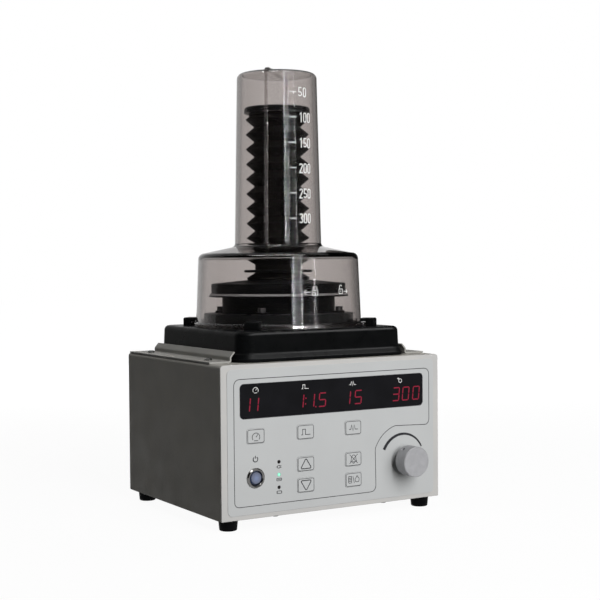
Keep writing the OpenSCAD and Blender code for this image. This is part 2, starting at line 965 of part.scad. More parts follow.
module base_block() {
  hull()
    for (x = [-1, 1], y = [-1, 1])
      translate([x * (base_w / 2 - base_corner_r), y * (base_d / 2 - base_corner_r), 0])
        base_corner();
}

module base_slab(grow, h) {
  linear_extrude(h)
    round_rect(base_w + 2 * grow, base_d + 2 * grow, base_corner_r + grow);
}

module lug() {
  over = rim_z + rim_t + lug_gap;
  top = base_h + lug_h;
  rotate([90, 0, 0])
    linear_extrude(lug_w, center = true)
      polygon([[lug_in_r, over], [lug_in_r, top], [lug_out_r, top], [lug_out_r, base_h - 1],
        [lug_heel_r, base_h - 1], [lug_heel_r, over]]);
}

// Pipe inside the base from its rear pad to the middle, with the riser that it feeds
module base_pipe(x, r, rise) {
  translate([x, 0, channel_z])
    rotate([-90, 0, 0])
      cylinder(r = r, h = base_d / 2);
  translate([x, 0, channel_z - r])
    cylinder(r = r, h = rise - channel_z + r);
}

module base_pipe_bore(x, r, rise) {
  at_rear(x, channel_z, 0)
    cylinder(r = r, h = pad_y + 1);
  translate([x, 0, channel_z])
    cylinder(r = r, h = rise - channel_z + 1);
}

module bellows_base() {
  seat_top = boss_z + seat_rise;
  circuit_bore = circuit_r - port_wall;
  scavenge_bore = scavenge_r - port_wall;
  cavity = -base_wall - base_draft;
  color([0.08, 0.08, 0.09])
    on_cabinet() {
      difference() {
        union() {
          difference() {
            union() {
              base_block();
              base_slab(base_step_w, base_step_h);
              base_slab(base_step_w + base_lip_w, base_lip_h);
              translate([-tongue_x, base_corner_r - base_d / 2, 0])
                cube([2 * tongue_x, base_d - 2 * base_corner_r, tongue_h]);
              cylinder(r = boss_r, h = boss_z);
              for (a = [0:3])
                rotate([0, 0, 45 + 90 * a])
                  lug();
              for (x = [-1, 1])
                translate([x * port_x - pad_w / 2, base_d / 2 - base_wall, 0.4])
                  cube([pad_w, pad_y - base_d / 2 + base_wall, base_h - base_edge_r - 0.4]);
            }
            translate([0, 0, -1])
              base_slab(cavity, base_h - base_wall + 1);
            translate([0, 0, base_h - base_wall - 1])
              cylinder(r = boss_r - base_wall, h = boss_h + 1);
          }
          base_pipe(-port_x, circuit_bore + port_wall, boss_z);
          base_pipe(port_x, scavenge_bore + port_wall, seat_top);
          translate([drive_x, drive_y - base_back, base_h - base_wall])
            cylinder(r = drive_tube_r + 3, h = boss_h);
        }
        base_pipe_bore(-port_x, circuit_bore, boss_z);
        base_pipe_bore(port_x, scavenge_bore, seat_top);
        at_rear(-port_x, channel_z, pad_y - spigot_in)
          cylinder(r = circuit_r - spigot_step + fit_gap, h = spigot_in + 1);
        at_rear(port_x, channel_z, pad_y - spigot_in)
          cylinder(r = scavenge_r - spigot_step + fit_gap, h = spigot_in + 1);
        translate([0, 0, base_h - seal_sunk])
          tube(seal_r + seal_w / 2 + fit_gap, seal_r - seal_w / 2 - fit_gap, seal_t);
        translate([drive_x, drive_y - base_back, -1])
          cylinder(r = drive_tube_r + fit_gap, h = boss_z - base_wall + 1);
        translate([drive_x, drive_y - base_back, 0])
          cylinder(r = drive_bore_r, h = boss_z + 1);
        at_ears(boss_z - base_wall - 1)
          cylinder(r = screw_r + fit_gap, h = base_wall + 2);
      }
      translate([port_x, 0, seat_top - guide_h - guide_drop])
        difference() {
          union() {
            cylinder(r = guide_r, h = guide_h);
            translate([-scavenge_bore - 1, -1, 0])
              cube([2 * scavenge_bore + 2, 2, guide_h]);
          }
          translate([0, 0, -1])
            cylinder(r = popoff_stem_r + fit_gap, h = guide_h + 2);
        }
    }
}

// Section of the right-hand clamp rail, from its outer edge over the flat, up and in over the base
module rail_section() {
  t = rail_t;
  x0 = rail_in_x;
  lean = t * 0.8;
  polygon([[rail_out_x, 0], [x0, 0], [x0, rail_rise], [x0 - rail_lip_in, rail_rise + rail_lip_h],
    [x0 - rail_lip_in + lean, rail_rise + rail_lip_h + lean / 2], [x0 + t, rail_rise + lean / 2],
    [x0 + t, t], [rail_out_x, t]]);
}

module clamp_rail(side) {
  color([0.55, 0.54, 0.51])
    difference() {
      translate([0, rail_y + rail_len / 2, z_top])
        mirror([side < 0 ? 1 : 0, 0, 0])
          difference() {
            rotate([90, 0, 0])
              linear_extrude(rail_len)
                rail_section();
            translate([rail_in_x - 2 * rail_lip_in, -rail_cut, rail_t])
              cube([2 * rail_lip_in + 2 * rail_t, rail_cut + 1, rail_rise + 2 * rail_lip_h]);
          }
      at_rail_screws(side)
        translate([0, 0, -2 * rail_t])
          cylinder(r = screw_r + hole_gap, h = 3 * rail_t);
    }
}

module clamp_rail_left() { clamp_rail(-1); }
module clamp_rail_right() { clamp_rail(1); }

module rail_screws() {
  color([0.75, 0.75, 0.76])
    for (side = [-1, 1])
      at_rail_screws(side)
        screw(rail_t + sheet_t + 3);
}

// Housing, bellows and valve chamber

tube_foot_z = shoulder_h + shoulder_climb;
// Turn of the shoulder's rounded edge, in degrees
shoulder_turn = 80;

ridge_a = -135;
ridge_root = 1;

// Points up one side of the tube and over its crown, moved out by side on the tube and by top on the top
function ridge_points(side, top) = concat([[tube_r + side, tube_foot_z - ridge_root]],
  [for (i = [0:6]) let (a = 15 * i, grow = crown_r + side + (top - side) * a / 90)
    [tube_top_r - crown_r + grow * cos(a), housing_h - crown_r + grow * sin(a)]]);
function both_sides(list) = concat(list, [for (p = backwards(list)) [-p[0], p[1]]]);

module housing_ridge() {
  rotate([0, 0, ridge_a])
    rotate([90, 0, 0])
      linear_extrude(ridge_w, center = true)
        polygon(concat(both_sides(ridge_points(ridge_out, ridge_top)),
          backwards(both_sides(ridge_points(-ridge_root, -ridge_root)))));
}

module housing() {
  w = housing_wall;
  edge = shoulder_r;
  inner_edge = shoulder_r - w;
  inner_crown = crown_r - w;
  outer = concat([[rim_r, rim_z], [rim_r, rim_z + rim_t], [drum_r, rim_z + rim_t]],
    arc([drum_top_r - edge, shoulder_h - edge], edge, 0, shoulder_turn, 6), [[tube_r, tube_foot_z]],
    arc([tube_top_r - crown_r, housing_h - crown_r], crown_r, 0, 90, 6), [[0, housing_h]]);
  inner = concat([[0, housing_h - w]],
    arc([tube_top_r - crown_r, housing_h - crown_r], inner_crown, 90, 0, 6), [[tube_r - w, tube_foot_z - w]],
    arc([drum_top_r - edge, shoulder_h - edge], inner_edge, shoulder_turn, 0, 6), [[drum_r - w, rim_z]]);
  color([0.6, 0.55, 0.5, 0.4])
    on_cabinet() {
      rotate_extrude()
        polygon(concat(outer, inner));
      for (a = [0:3])
        rotate([0, 0, 45 + 90 * a - tab_deg / 2])
          rotate_extrude(angle = tab_deg)
            translate([rim_r - 1, rim_z])
              square([tab_r - rim_r + 1, rim_t]);
      housing_ridge();
    }
}

module housing_seal() {
  color([0.05, 0.05, 0.05])
    on_cabinet()
      translate([0, 0, base_h - seal_sunk])
        tube(seal_r + seal_w / 2, seal_r - seal_w / 2, seal_t);
}

// Places of the four ears and screws that hold the chamber on its boss
module at_ears(z) {
  for (a = [0:3])
    rotate([0, 0, 45 + 90 * a])
      translate([ear_screw_r, 0, z])
        children();
}

module valve_chamber() {
  w = base_wall;
  edge = chamber_lip_t / 2;
  color([0.09, 0.09, 0.1])
    on_cabinet()
      difference() {
        union() {
          rotate_extrude()
            polygon(concat([[chamber_r - w, boss_z], [chamber_r, boss_z], [chamber_r, lip_z]],
              arc([chamber_lip_r - edge, lip_z + edge], edge, -90, 90, 8),
              [[throat_r, plate_z], [throat_r, lip_z], [chamber_r - w, lip_z]]));
          at_ears(boss_z)
            translate([-ear_out / 2 - ear_root, -ear_w / 2, 0])
              cube([ear_out + ear_root, ear_w, ear_t]);
        }
        at_ears(boss_z - 1)
          cylinder(r = screw_r + hole_gap, h = ear_t + 2);
      }
}

module chamber_screws() {
  shank = ear_t + base_wall + screw_end;
  color([0.1, 0.1, 0.1])
    on_cabinet()
      at_ears(boss_z + ear_t)
        difference() {
          union() {
            cylinder(r = cap_head_r, h = cap_head_h);
            translate([0, 0, -shank])
              cylinder(r = screw_r, h = shank + 0.1);
          }
          translate([0, 0, cap_head_h - cap_socket_deep])
            cylinder(r = cap_socket_r, h = cap_socket_deep + 1, $fn = 6);
        }
}

module bellows_plate() {
  color([0.09, 0.09, 0.1])
    on_cabinet()
      rotate_extrude()
        polygon([[throat_r, plate_z], [plate_r, plate_z], [plate_r, plate_z + plate_t], [seat_flat_r, seat_z],
          [spigot_r, seat_z], [spigot_r, ring_z + ring_t], [throat_r, ring_z + ring_t]]);
}

module bellows_ring() {
  edge = ring_t / 2;
  color([0.09, 0.09, 0.1])
    on_cabinet()
      rotate_extrude()
        polygon(concat([[valley_r + fit_gap, ring_z]], arc([ring_r - edge, ring_z + edge], edge, -90, 90, 6),
          [[valley_r + fit_gap, ring_z + ring_t]]));
}

// Points up one face of the bellows, drawn in by inset
function fold_points(inset) = concat(
  [[fold_r - inset, seat_z + cuff_h], [valley_r - inset, ring_z - ring_room],
    [valley_r - inset, ring_z + ring_t + ring_room]],
  [for (i = [0:fold_total - 1]) each [[fold_r - inset, fold_z(i)],
    [i < fold_total - 1 ? valley_r - inset : neck_r - inset,
     i < fold_total - 1 ? (fold_z(i) + fold_z(i + 1)) / 2 : disc_z - cuff_t]]]);

function backwards(list) = [for (i = [len(list) - 1:-1:0]) list[i]];

module bellows() {
  t = bellows_wall;
  color([0.05, 0.05, 0.05])
    on_cabinet()
      rotate_extrude()
        polygon(concat([[fold_r - t, seat_z]], fold_points(0), [[neck_r, disc_z], [neck_r - t, disc_z]],
          backwards(fold_points(t)), [[fold_r - 2 * t, seat_z]]));
}

module bellows_top() {
  edge = top_disc_t / 3;
  color([0.07, 0.07, 0.07])
    on_cabinet()
      rotate_extrude()
        polygon(concat([[0, disc_z]], arc([top_disc_r - edge, disc_z + edge], edge, -90, 0, 4),
          arc([top_disc_r - edge, disc_z + top_disc_t - edge], edge, 0, 90, 4), [[0, disc_z + top_disc_t]]));
}

module popoff_disc() {
  top = boss_z + seat_rise;
  color([0.85, 0.85, 0.8])
    on_cabinet()
      translate([port_x, 0, top]) {
        cylinder(r = popoff_r, h = popoff_t);
        translate([0, 0, -popoff_stem_len])
          cylinder(r = popoff_stem_r, h = popoff_stem_len + 0.1);
      }
}

// Connections

// Tapered-hose fitting screwed into the base's rear pad
module rear_port(x, r) {
  color([0.09, 0.09, 0.1])
    on_cabinet()
      at_rear(x, channel_z, pad_y)
        difference() {
          union() {
            translate([0, 0, -spigot_in])
              cylinder(r = r - spigot_step, h = spigot_in + 1);
            cylinder(r = collar_r, h = collar_t);
            cylinder(r = r, h = port_len);
          }
          translate([0, 0, -spigot_in - 1])
            cylinder(r = r - port_wall, h = port_len + spigot_in + 2);
        }
}

module circuit_port() { rear_port(-port_x, circuit_r); }
module scavenge_port() { rear_port(port_x, scavenge_r); }

module drive_tube() {
  from = z_floor + manifold_h;
  color([0.15, 0.25, 0.45])
    translate([drive_x, drive_y, from])
      tube(drive_tube_r, drive_bore_r, z_top + boss_z - base_wall - from);
}

module flow_tube() {
  from = y_front + panel_t + flow_body_len;
  color([0.15, 0.25, 0.45])
    at_rear(knob_x, z_bottom + knob_z - flow_tube_drop, from)
      tube(flow_tube_r, flow_bore_r, manifold_y - from);
}

module power_inlet() {
  w = inlet_w + 2 * inlet_wall;
  h = inlet_h + 2 * inlet_wall;
  color([0.06, 0.06, 0.06])
    translate([inlet_x, y_rear, z_bottom + rear_z]) {
      rotate([90, 0, 0])
        difference() {
          union() {
            translate([0, 0, -inlet_flange_t])
              linear_extrude(inlet_flange_t)
                round_rect(inlet_flange_w, inlet_flange_h, 3);
            translate([0, 0, -inlet_root])
              linear_extrude(inlet_deep + inlet_wall)
                square([w - 2 * fit_gap, h - 2 * fit_gap], center = true);
          }
          translate([0, 0, -inlet_flange_t - 1])
            linear_extrude(inlet_deep + inlet_flange_t)
              square([inlet_w, inlet_h], center = true);
        }
      for (x = [-1, 0, 1])
        translate([x * inlet_pin_x, -inlet_deep, x == 0 ? inlet_pin_z : -inlet_pin_z])
          translate([-inlet_pin_w / 2, 0, -inlet_pin_h / 2])
            cube([inlet_pin_w, inlet_pin_len, inlet_pin_h]);
    }
}

module gas_inlet() {
  from = manifold_y + manifold_d;
  len = y_rear + gas_out - from;
  color([0.75, 0.62, 0.35])
    at_rear(gas_x, z_bottom + rear_z, from)
      difference() {
        union() {
          cylinder(d = gas_stub_d, h = len);
          translate([0, 0, y_rear - from])
            cylinder(r = gas_hex_r, h = gas_hex_t, $fn = 6);
        }
        translate([0, 0, -1])
          cylinder(r = gas_bore_r, h = len + 2);
      }
}

module valve_manifold() {
  color([0.62, 0.63, 0.65])
    translate([manifold_x, manifold_y, z_floor])
      cube([manifold_w, manifold_d, manifold_h]);
}

module solenoid_valves() {
  color([0.12, 0.12, 0.13])
    translate([solenoid_x, drive_y - solenoid_d / 2, z_floor + manifold_h])
      for (i = [0, 1])
        translate([i * (solenoid_w + solenoid_gap), 0, 0])
          cube([solenoid_w, solenoid_d, solenoid_h]);
}

module main_board() {
  color([0.1, 0.3, 0.15])
    translate([main_x - main_w / 2, main_y - main_d / 2, z_floor + post_h])
      cube([main_w, main_d, board_t]);
}

module board_posts() {
  color([0.7, 0.65, 0.45])
    for (x = [-1, 1], y = [-1, 1])
      translate([main_x + x * (main_w / 2 - post_in), main_y + y * (main_d / 2 - post_in), z_floor])
        cylinder(r = post_r, h = post_h);
}

module alarm_sounder() {
  color([0.05, 0.05, 0.05])
    translate([main_x, main_y, z_floor + post_h + board_t])
      cylinder(r = sounder_r, h = sounder_h);
}

module power_unit() {
  color([0.5, 0.5, 0.52])
    translate([unit_x, power_unit_y, z_floor])
      cube([unit_w, power_unit_d, unit_h]);
}

module battery_pack() {
  color([0.15, 0.3, 0.5])
    translate([unit_x, battery_y, z_floor])
      cube([unit_w, battery_d, unit_h]);
}

top_cover();
bottom_tray();
front_panel();
rear_panel();
cabinet_screws();
feet();
foot_screws();
front_overlay();
display_window();
display_board();
pressure_digits();
ratio_digits();
rate_digits();
volume_digits();
panel_standoffs();
key_board();
key_pressure();
key_ratio();
key_rate();
key_up();
key_down();
key_mute();
key_mode();
power_bezel();
power_cap();
power_nut();
lamp_upper();
lamp_middle();
lamp_lower();
knob();
knob_set_screw();
flow_valve_stem();
flow_valve_body();
flow_valve_nut();
flow_tube();
bellows_base();
clamp_rail_left();
clamp_rail_right();
rail_screws();
housing();
housing_seal();
bellows();
bellows_top();
bellows_ring();
bellows_plate();
valve_chamber();
chamber_screws();
popoff_disc();
circuit_port();
scavenge_port();
drive_tube();
power_inlet();
gas_inlet();
valve_manifold();
solenoid_valves();
main_board();
board_posts();
alarm_sounder();
power_unit();
battery_pack();
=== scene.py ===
from contextlib import contextmanager
from math import atan2, cos, degrees, hypot, pi, radians, sin, sqrt, tan

import bmesh
import bpy
from mathutils import Matrix, Vector


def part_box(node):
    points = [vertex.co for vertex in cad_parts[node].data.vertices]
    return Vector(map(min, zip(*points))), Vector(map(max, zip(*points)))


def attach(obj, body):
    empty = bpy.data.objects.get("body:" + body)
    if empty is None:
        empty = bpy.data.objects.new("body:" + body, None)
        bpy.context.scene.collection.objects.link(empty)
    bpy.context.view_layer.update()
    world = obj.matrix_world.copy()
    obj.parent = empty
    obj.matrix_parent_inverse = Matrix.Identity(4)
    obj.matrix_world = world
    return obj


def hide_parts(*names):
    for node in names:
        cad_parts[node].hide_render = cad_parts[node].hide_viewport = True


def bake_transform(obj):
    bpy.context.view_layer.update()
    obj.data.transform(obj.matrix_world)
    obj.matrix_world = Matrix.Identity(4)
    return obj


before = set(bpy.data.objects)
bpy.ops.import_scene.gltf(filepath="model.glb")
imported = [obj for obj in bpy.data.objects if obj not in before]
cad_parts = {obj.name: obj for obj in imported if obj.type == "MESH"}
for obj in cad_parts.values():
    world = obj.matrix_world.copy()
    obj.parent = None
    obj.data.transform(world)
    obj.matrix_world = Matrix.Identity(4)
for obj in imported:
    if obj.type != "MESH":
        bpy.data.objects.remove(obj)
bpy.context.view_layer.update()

# Sizes are in millimetres, as on the drawing; meshes are brought to metres when a piece is put in place
MM = 0.001
WELD = 1e-4

# Cabinet
CABINET_W, CABINET_H, CABINET_BOTTOM = 232.0, 135.0, 10.0
CABINET_TOP = CABINET_BOTTOM + CABINET_H
PANEL_FACE, REAR_FACE, PANEL_T = -98.0, 98.0, 2.0
OVERLAY_W, OVERLAY_H, OVERLAY_T = 220.0, 127.0, 0.5
OVERLAY_FACE = PANEL_FACE - OVERLAY_T
INK, SCALE_INK, SIGN_INK = 0.05, 0.14, 0.12
FOOT_X, FOOT_Y = 103.0, 85.0
REAR_SCREW_X, REAR_SCREW_Z = 108.5, 115.0
SIDE_SCREW_X, SIDE_SCREW_Y = 109.0, 49.0
END_SCREW_X, END_SCREW_Y = 58.0, 89.0
SOCKET_X, SOCKET_Z, GAS_X = -74.0, 38.0, -67.73

# Front layout: x from the middle, height above the cabinet's bottom edge
WINDOW = (194.4, 29.6, 3.5, 102.8)
KEY_SIZE = (17.7, 13.0, 2.0)
KEY_PLACES = {
    "key_pressure": (-82.3, 72.1), "key_ratio": (-31.6, 72.1), "key_rate": (19.1, 72.1),
    "key_up": (-31.6, 43.5), "key_down": (-31.6, 24.6),
    "key_mute": (19.1, 43.5), "key_mode": (19.1, 24.6),
}
POWER_PLACE = (-82.7, 35.6)
LAMP_X = -59.1
LAMP_HEIGHTS = {"lamp_upper": 47.65, "lamp_middle": 36.4, "lamp_lower": 25.15}
KNOB_PLACE = (74.5, 38.5)
KNOB_R, KNOB_LENGTH, KNOB_GAP = 14.0, 14.5, 7.5

# Bellows side: heights above the cabinet's top
BASE_W, BASE_D, BASE_H, BASE_R = 176.0, 172.0, 27.0, 15.0
BASE_BACK, BASE_DRAFT, BASE_EDGE = 2.0, 1.0, 4.5
TONGUE_W, TONGUE_H = 186.2, 4.4
RAIL_IN, RAIL_OUT, RAIL_T = 93.5, 115.2, 1.5
RAIL_LENGTH, RAIL_REAR, RAIL_CUT = 172.0, 96.0, 14.0
RAIL_SCREW_X, RAIL_SCREW_Y = 105.1, (-54, 68)
PORT_X, PORT_Z = 30, 13.0
BOSS_R, BOSS_TOP = 72.0, 40.0
CHAMBER_R, CHAMBER_LIP, CHAMBER_TOP, CHAMBER_LIP_R = 54.4, 55.5, 59.0, 67.2
EAR_T, EAR_SCREW_R = 2.0, 59.4
PLATE_R, PLATE_TOP, SEAT_H, SEAT_R = 64.8, 68.0, 71.0, 33.3
RING_R, RING_LOW, RING_HIGH = 32.9, 78.5, 80.9
FOLD_R, VALLEY_R, NECK_R, SKIN_T = 30.3, 22.3, 27.0, 1.2
FIRST_FOLD, SAG_PITCH, FOLD_PITCH, SAG_FOLDS, FOLD_COUNT = 90.8, 10.2, 14.2, 2, 11
DISC_LOW, DISC_HIGH, DISC_R = 230.9, 236.4, 31.6
HOUSING_RIM_LOW, HOUSING_RIM_HIGH, HOUSING_RIM_R, TAB_R, TAB_TURN = 27.4, 30.9, 82.0, 86.5, 7.5
DRUM_LOW_R, DRUM_TOP_R, DRUM_TOP = 79.6, 76.9, 96.0
TUBE_FOOT_R, TUBE_FOOT, TUBE_TOP_R, TUBE_TOP = 41.7, 103.5, 38.3, 269.0
HOUSING_WALL, CROWN_R, CROWN_WALL = 4.0, 5.0, 2.2
RIDGE_W, RIDGE_OUT, RIDGE_TOP, RIDGE_FOOT = 3.2, 1.0, 1.85, TUBE_FOOT + 2
LUG_IN_R, LUG_HEEL_R, LUG_OUT_R, LUG_TOP, LUG_W = 81.6, 87.0, 95.0, 34.7, 14.0
LOCK_ANGLES = (-135.0, -45.0, 45.0, 135.0)
SCALE_MIDDLE, LOCK_SIGN_Z = 215.0, 61.6

# Share of the room's light on surfaces, and how much less of it comes back from inside the housing
ROOM, INSIDE_SHADE = 0.015, 0.45

# Camera: lens and sensor, its place in metres, and its yaw, pitch and roll in degrees
LENS, SENSOR = 76.3, 36.0
VIEWPOINT, VIEW_TURNS = (-0.6163, -1.0628, 0.2335), (31.03, 1.728, -0.453)

FACING = Matrix.Rotation(pi / 2, 4, "X")
BACKING = Matrix.Rotation(pi, 4, "Z") @ FACING


# Outlines and profiles

def rounded(points, closed=True, steps=6):
    """A path through (x, y, radius) corners, each turned with its own radius."""
    path, count = [], len(points)
    for i, (x, y, r) in enumerate(points):
        here = Vector((x, y))
        if r <= 0 or (not closed and i in (0, count - 1)):
            path.append(here)
            continue
        before = Vector(points[i - 1][:2]) - here
        after = Vector(points[(i + 1) % count][:2]) - here
        angle = before.angle(after)
        if angle > pi - 0.01:
            path.append(here)
            continue
        reach = min(r / tan(angle / 2), before.length * 0.499, after.length * 0.499)
        r = reach * tan(angle / 2)
        before.normalize()
        after.normalize()
        middle = here + (before + after).normalized() * (r / sin(angle / 2))
        a, b = here + before * reach - middle, here + after * reach - middle
        turn = a.angle_signed(b)
        for k in range(steps + 1):
            t = -turn * k / steps
            path.append(middle + Vector((a.x * cos(t) - a.y * sin(t), a.x * sin(t) + a.y * cos(t))))
    return [(p.x, p.y) for p in path]


def bent(points, steps=6):
    """An open path with round corners."""
    return rounded(points, False, steps)


def rectangle(x, y, w, h, r, steps=8):
    """A rectangle with round corners, centred on x, y."""
    a, b = w / 2, h / 2
    return rounded([(x - a, y - b, r), (x + a, y - b, r), (x + a, y + b, r), (x - a, y + b, r)], steps=steps)


def polar(r, angle):
    """The point at a radius and an angle in degrees."""
    return r * cos(radians(angle)), r * sin(radians(angle))


def circle(x, y, r, steps=48):
    """A round outline."""
    return [(x + r * cos(2 * pi * k / steps), y + r * sin(2 * pi * k / steps)) for k in range(steps)]


def arc(x, y, r, start, end, steps=32):
    """An open arc between two angles in degrees."""
    turn = [radians(start + (end - start) * k / steps) for k in range(steps + 1)]
    return [(x + r * cos(t), y + r * sin(t)) for t in turn]


def moved(path, x, y, scale=1.0):
    """A path drawn about the origin, set down at x, y."""
    return [(x + p * scale, y + q * scale) for p, q in path]


# Meshes

@contextmanager
def editing(mesh):
    """A mesh opened for editing and written back."""
    work = bmesh.new()
    work.from_mesh(mesh)
    yield work
    work.to_mesh(mesh)
    work.free()


def new_mesh(name, verts, faces):
    """A mesh with its normals turned outwards."""
    mesh = bpy.data.meshes.new(name)
    with editing(mesh) as work:
        corners = [work.verts.new(v) for v in verts]
        for face in faces:
            if len(set(face)) > 2:
                try:
                    work.faces.new([corners[i] for i in face])
                except ValueError:
                    pass
        bmesh.ops.remove_doubles(work, verts=work.verts, dist=WELD / 10)
        bmesh.ops.recalc_face_normals(work, faces=work.faces)
    return mesh


def lathe(name, profile, steps=96, closed=True):
    """A turned piece about Z from a (radius, height) profile."""
    verts, faces, rings = [], [], []
    for r, z in profile:
        if r < 1e-6:
            rings.append([len(verts)] * steps)
            verts.append((0.0, 0.0, z))
        else:
            rings.append(list(range(len(verts), len(verts) + steps)))
            verts += [(x, y, z) for x, y in circle(0, 0, r, steps)]
    for i in range(len(rings) if closed else len(rings) - 1):
        low, high = rings[i], rings[(i + 1) % len(rings)]
        for k in range(steps):
            n = (k + 1) % steps
            face = list(dict.fromkeys((low[k], low[n], high[n], high[k])))
            if len(face) > 2:
                faces.append(face)
    return new_mesh(name, verts, faces)


def stacked(name, sections, dome=()):
    """A solid from (outline, height) sections, lowest first, with an even crown of (share, rise) rings."""
    count = len(sections[0][0])
    rings = [[(x, y, z) for x, y in outline] for outline, z in sections]
    top, low = sections[-1]
    middle_x, middle_y = sum(x for x, _ in top) / count, sum(y for _, y in top) / count
    for share, rise in dome:
        rings.append([(middle_x + (x - middle_x) * share, middle_y + (y - middle_y) * share, low + rise)
                      for x, y in top])
    faces = []
    for i in range(0, (len(rings) - 1) * count, count):
        for k in range(count):
            n = (k + 1) % count
            faces.append((i + k, i + n, i + count + n, i + count + k))
    last = (len(rings) - 1) * count
    faces += [tuple(range(last, last + count)), tuple(reversed(range(count)))]
    return new_mesh(name, [v for ring in rings for v in ring], faces)


def plate(name, outline, holes, thickness, edge=0.0, steps=3):
    """A flat plate from z 0 to its thickness, with holes and softened edges."""
    curve = bpy.data.curves.new(name, "CURVE")
    curve.dimensions = "2D"
    curve.fill_mode = "BOTH"
    curve.extrude = thickness / 2 - edge
    curve.bevel_depth = edge
    curve.bevel_resolution = steps - 1
    curve.offset = -edge
    for loop in [outline] + list(holes):
        area = sum(loop[i - 1][0] * loop[i][1] - loop[i][0] * loop[i - 1][1] for i in range(len(loop)))
        if (area < 0) == (loop is outline):
            loop = loop[::-1]
        spline = curve.splines.new("POLY")
        spline.points.add(len(loop) - 1)
        spline.use_cyclic_u = True
        for point, (x, y) in zip(spline.points, loop):
            point.co = (x, y, 0, 1)
    mesh = settled(bpy.data.objects.new(name, curve))
    bpy.data.curves.remove(curve)
    mesh.transform(Matrix.Translation((0, 0, thickness / 2)))
    with editing(mesh) as work:
        bmesh.ops.remove_doubles(work, verts=work.verts, dist=WELD)
        bmesh.ops.recalc_face_normals(work, faces=work.faces)
    return mesh


def line(name, path, width, closed=False, thickness=INK):
    """A printed line along a path, of one width or of a list of widths."""
    count = len(path)
    widths = width if isinstance(width, list) else [width] * count
    verts, faces = [], []
    for k, (x, y) in enumerate(path):
        here = Vector((x, y))
        back = here - Vector(path[k - 1]) if closed or k else Vector((0, 0))
        ahead = Vector(path[(k + 1) % count]) - here if closed or k < count - 1 else Vector((0, 0))
        a = back.normalized() if back.length > 1e-6 else None
        b = ahead.normalized() if ahead.length > 1e-6 else None
        a, b = a or b, b or a
        way = (a + b).normalized() if (a + b).length > 1e-4 else a
        side = Vector((-way.y, way.x)) * (widths[k] / 2 / max(0.5, sqrt((1 + a.dot(b)) / 2)))
        for p in (here + side, here - side):
            verts += [(p.x, p.y, 0.0), (p.x, p.y, thickness)]
    for k in range(count if closed else count - 1):
        a, b = 4 * k, 4 * ((k + 1) % count)
        faces += [(a + 1, a + 3, b + 3, b + 1), (a, b, b + 2, a + 2),
                  (a, a + 1, b + 1, b), (a + 2, b + 2, b + 3, a + 3)]
    if not closed:
        end = 4 * (count - 1)
        faces += [(0, 2, 3, 1), (end, end + 1, end + 3, end + 2)]
    return new_mesh(name, verts, faces)


def joined(name, meshes):
    """Several meshes as one."""
    result = bpy.data.meshes.new(name)
    with editing(result) as work:
        for mesh in meshes:
            work.from_mesh(mesh)
    return result


def linked(name, data):
    """A new object in the scene."""
    obj = bpy.data.objects.new(name, data)
    bpy.context.scene.collection.objects.link(obj)
    return obj


def settled(obj):
    """An object's evaluated shape as a plain mesh; the object itself goes."""
    bpy.context.scene.collection.objects.link(obj)
    graph = bpy.context.evaluated_depsgraph_get()
    graph.update()
    mesh = bpy.data.meshes.new_from_object(obj.evaluated_get(graph))
    bpy.data.objects.remove(obj)
    return mesh


def carved(name, mesh, tools, how="DIFFERENCE"):
    """A closed mesh joined with, or cut by, other closed meshes."""
    obj = bpy.data.objects.new(name, mesh)
    helpers = [linked(name + "_tool", tool) for tool in tools]
    for helper in helpers:
        step = obj.modifiers.new("cut", "BOOLEAN")
        step.operation = how
        step.solver = "EXACT"
        step.object = helper
    result = settled(obj)
    for helper in helpers:
        bpy.data.objects.remove(helper)
    with editing(result) as work:
        bmesh.ops.remove_doubles(work, verts=work.verts, dist=WELD)
        bmesh.ops.dissolve_degenerate(work, dist=WELD, edges=work.edges)
    return result


def placed(mesh, x=0.0, y=0.0, z=0.0, turn=None):
    """Moves a mesh in its own coordinates."""
    mesh.transform(Matrix.Translation((x, y, z)) @ (turn or Matrix.Identity(4)))
    return mesh


def turned(mesh, angle):
    """Turns a mesh about Z by degrees."""
    return placed(mesh, turn=Matrix.Rotation(radians(angle), 4, "Z"))


def on_front(mesh, x=0.0, height=0.0, face=OVERLAY_FACE):
    """Stands a flat drawing or turned piece on the front, its Z pointing out."""
    return placed(mesh, x, face, CABINET_BOTTOM + height, FACING)


def on_back(mesh, x=0.0, height=0.0, face=REAR_FACE):
    """Stands a flat drawing or turned piece on the back, its Z pointing out."""
    return placed(mesh, x, face, CABINET_BOTTOM + height, BACKING)


def on_top(mesh):
    """Stands a piece on the cabinet's top, about the base's middle."""
    return placed(mesh, y=BASE_BACK, z=CABINET_TOP)


def flat_kept(mesh):
    """Normals weighted by area, so that a softened edge doesn't shade the flat beside it."""
    obj = bpy.data.objects.new("shade", mesh)
    step = obj.modifiers.new("shade", "WEIGHTED_NORMAL")
    step.keep_sharp = True
    step.weight = 80
    return settled(obj)


def put(name, mesh, finish, body="cabinet", replaces=(), sharp=38.0, weighted=True):
    """Sets a finished mesh in place as a piece that moves with a body."""
    mesh.transform(Matrix.Scale(MM, 4))
    for face in mesh.polygons:
        face.use_smooth = True
    mesh.set_sharp_from_angle(angle=radians(sharp))
    if weighted:
        mesh = flat_kept(mesh)
    mesh.materials.clear()
    mesh.materials.append(FINISHES[finish])
    mesh.name = name
    piece = linked(name, mesh)
    if body:
        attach(piece, body)
    if replaces:
        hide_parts(*replaces)
    return piece


# Node trees

def fill(tree, slot, value):
    """Sets a node's input, or links it to another node's output."""
    if isinstance(value, bpy.types.NodeSocket):
        tree.links.new(value, slot)
    else:
        slot.default_value = value


def node(tree, kind, inputs=None, **settings):
    """A new node with its settings, and its inputs by name or number."""
    made = tree.nodes.new(kind)
    for label, value in settings.items():
        setattr(made, label, value)
    for label, value in (inputs or {}).items():
        fill(tree, made.inputs[label], value)
    return made


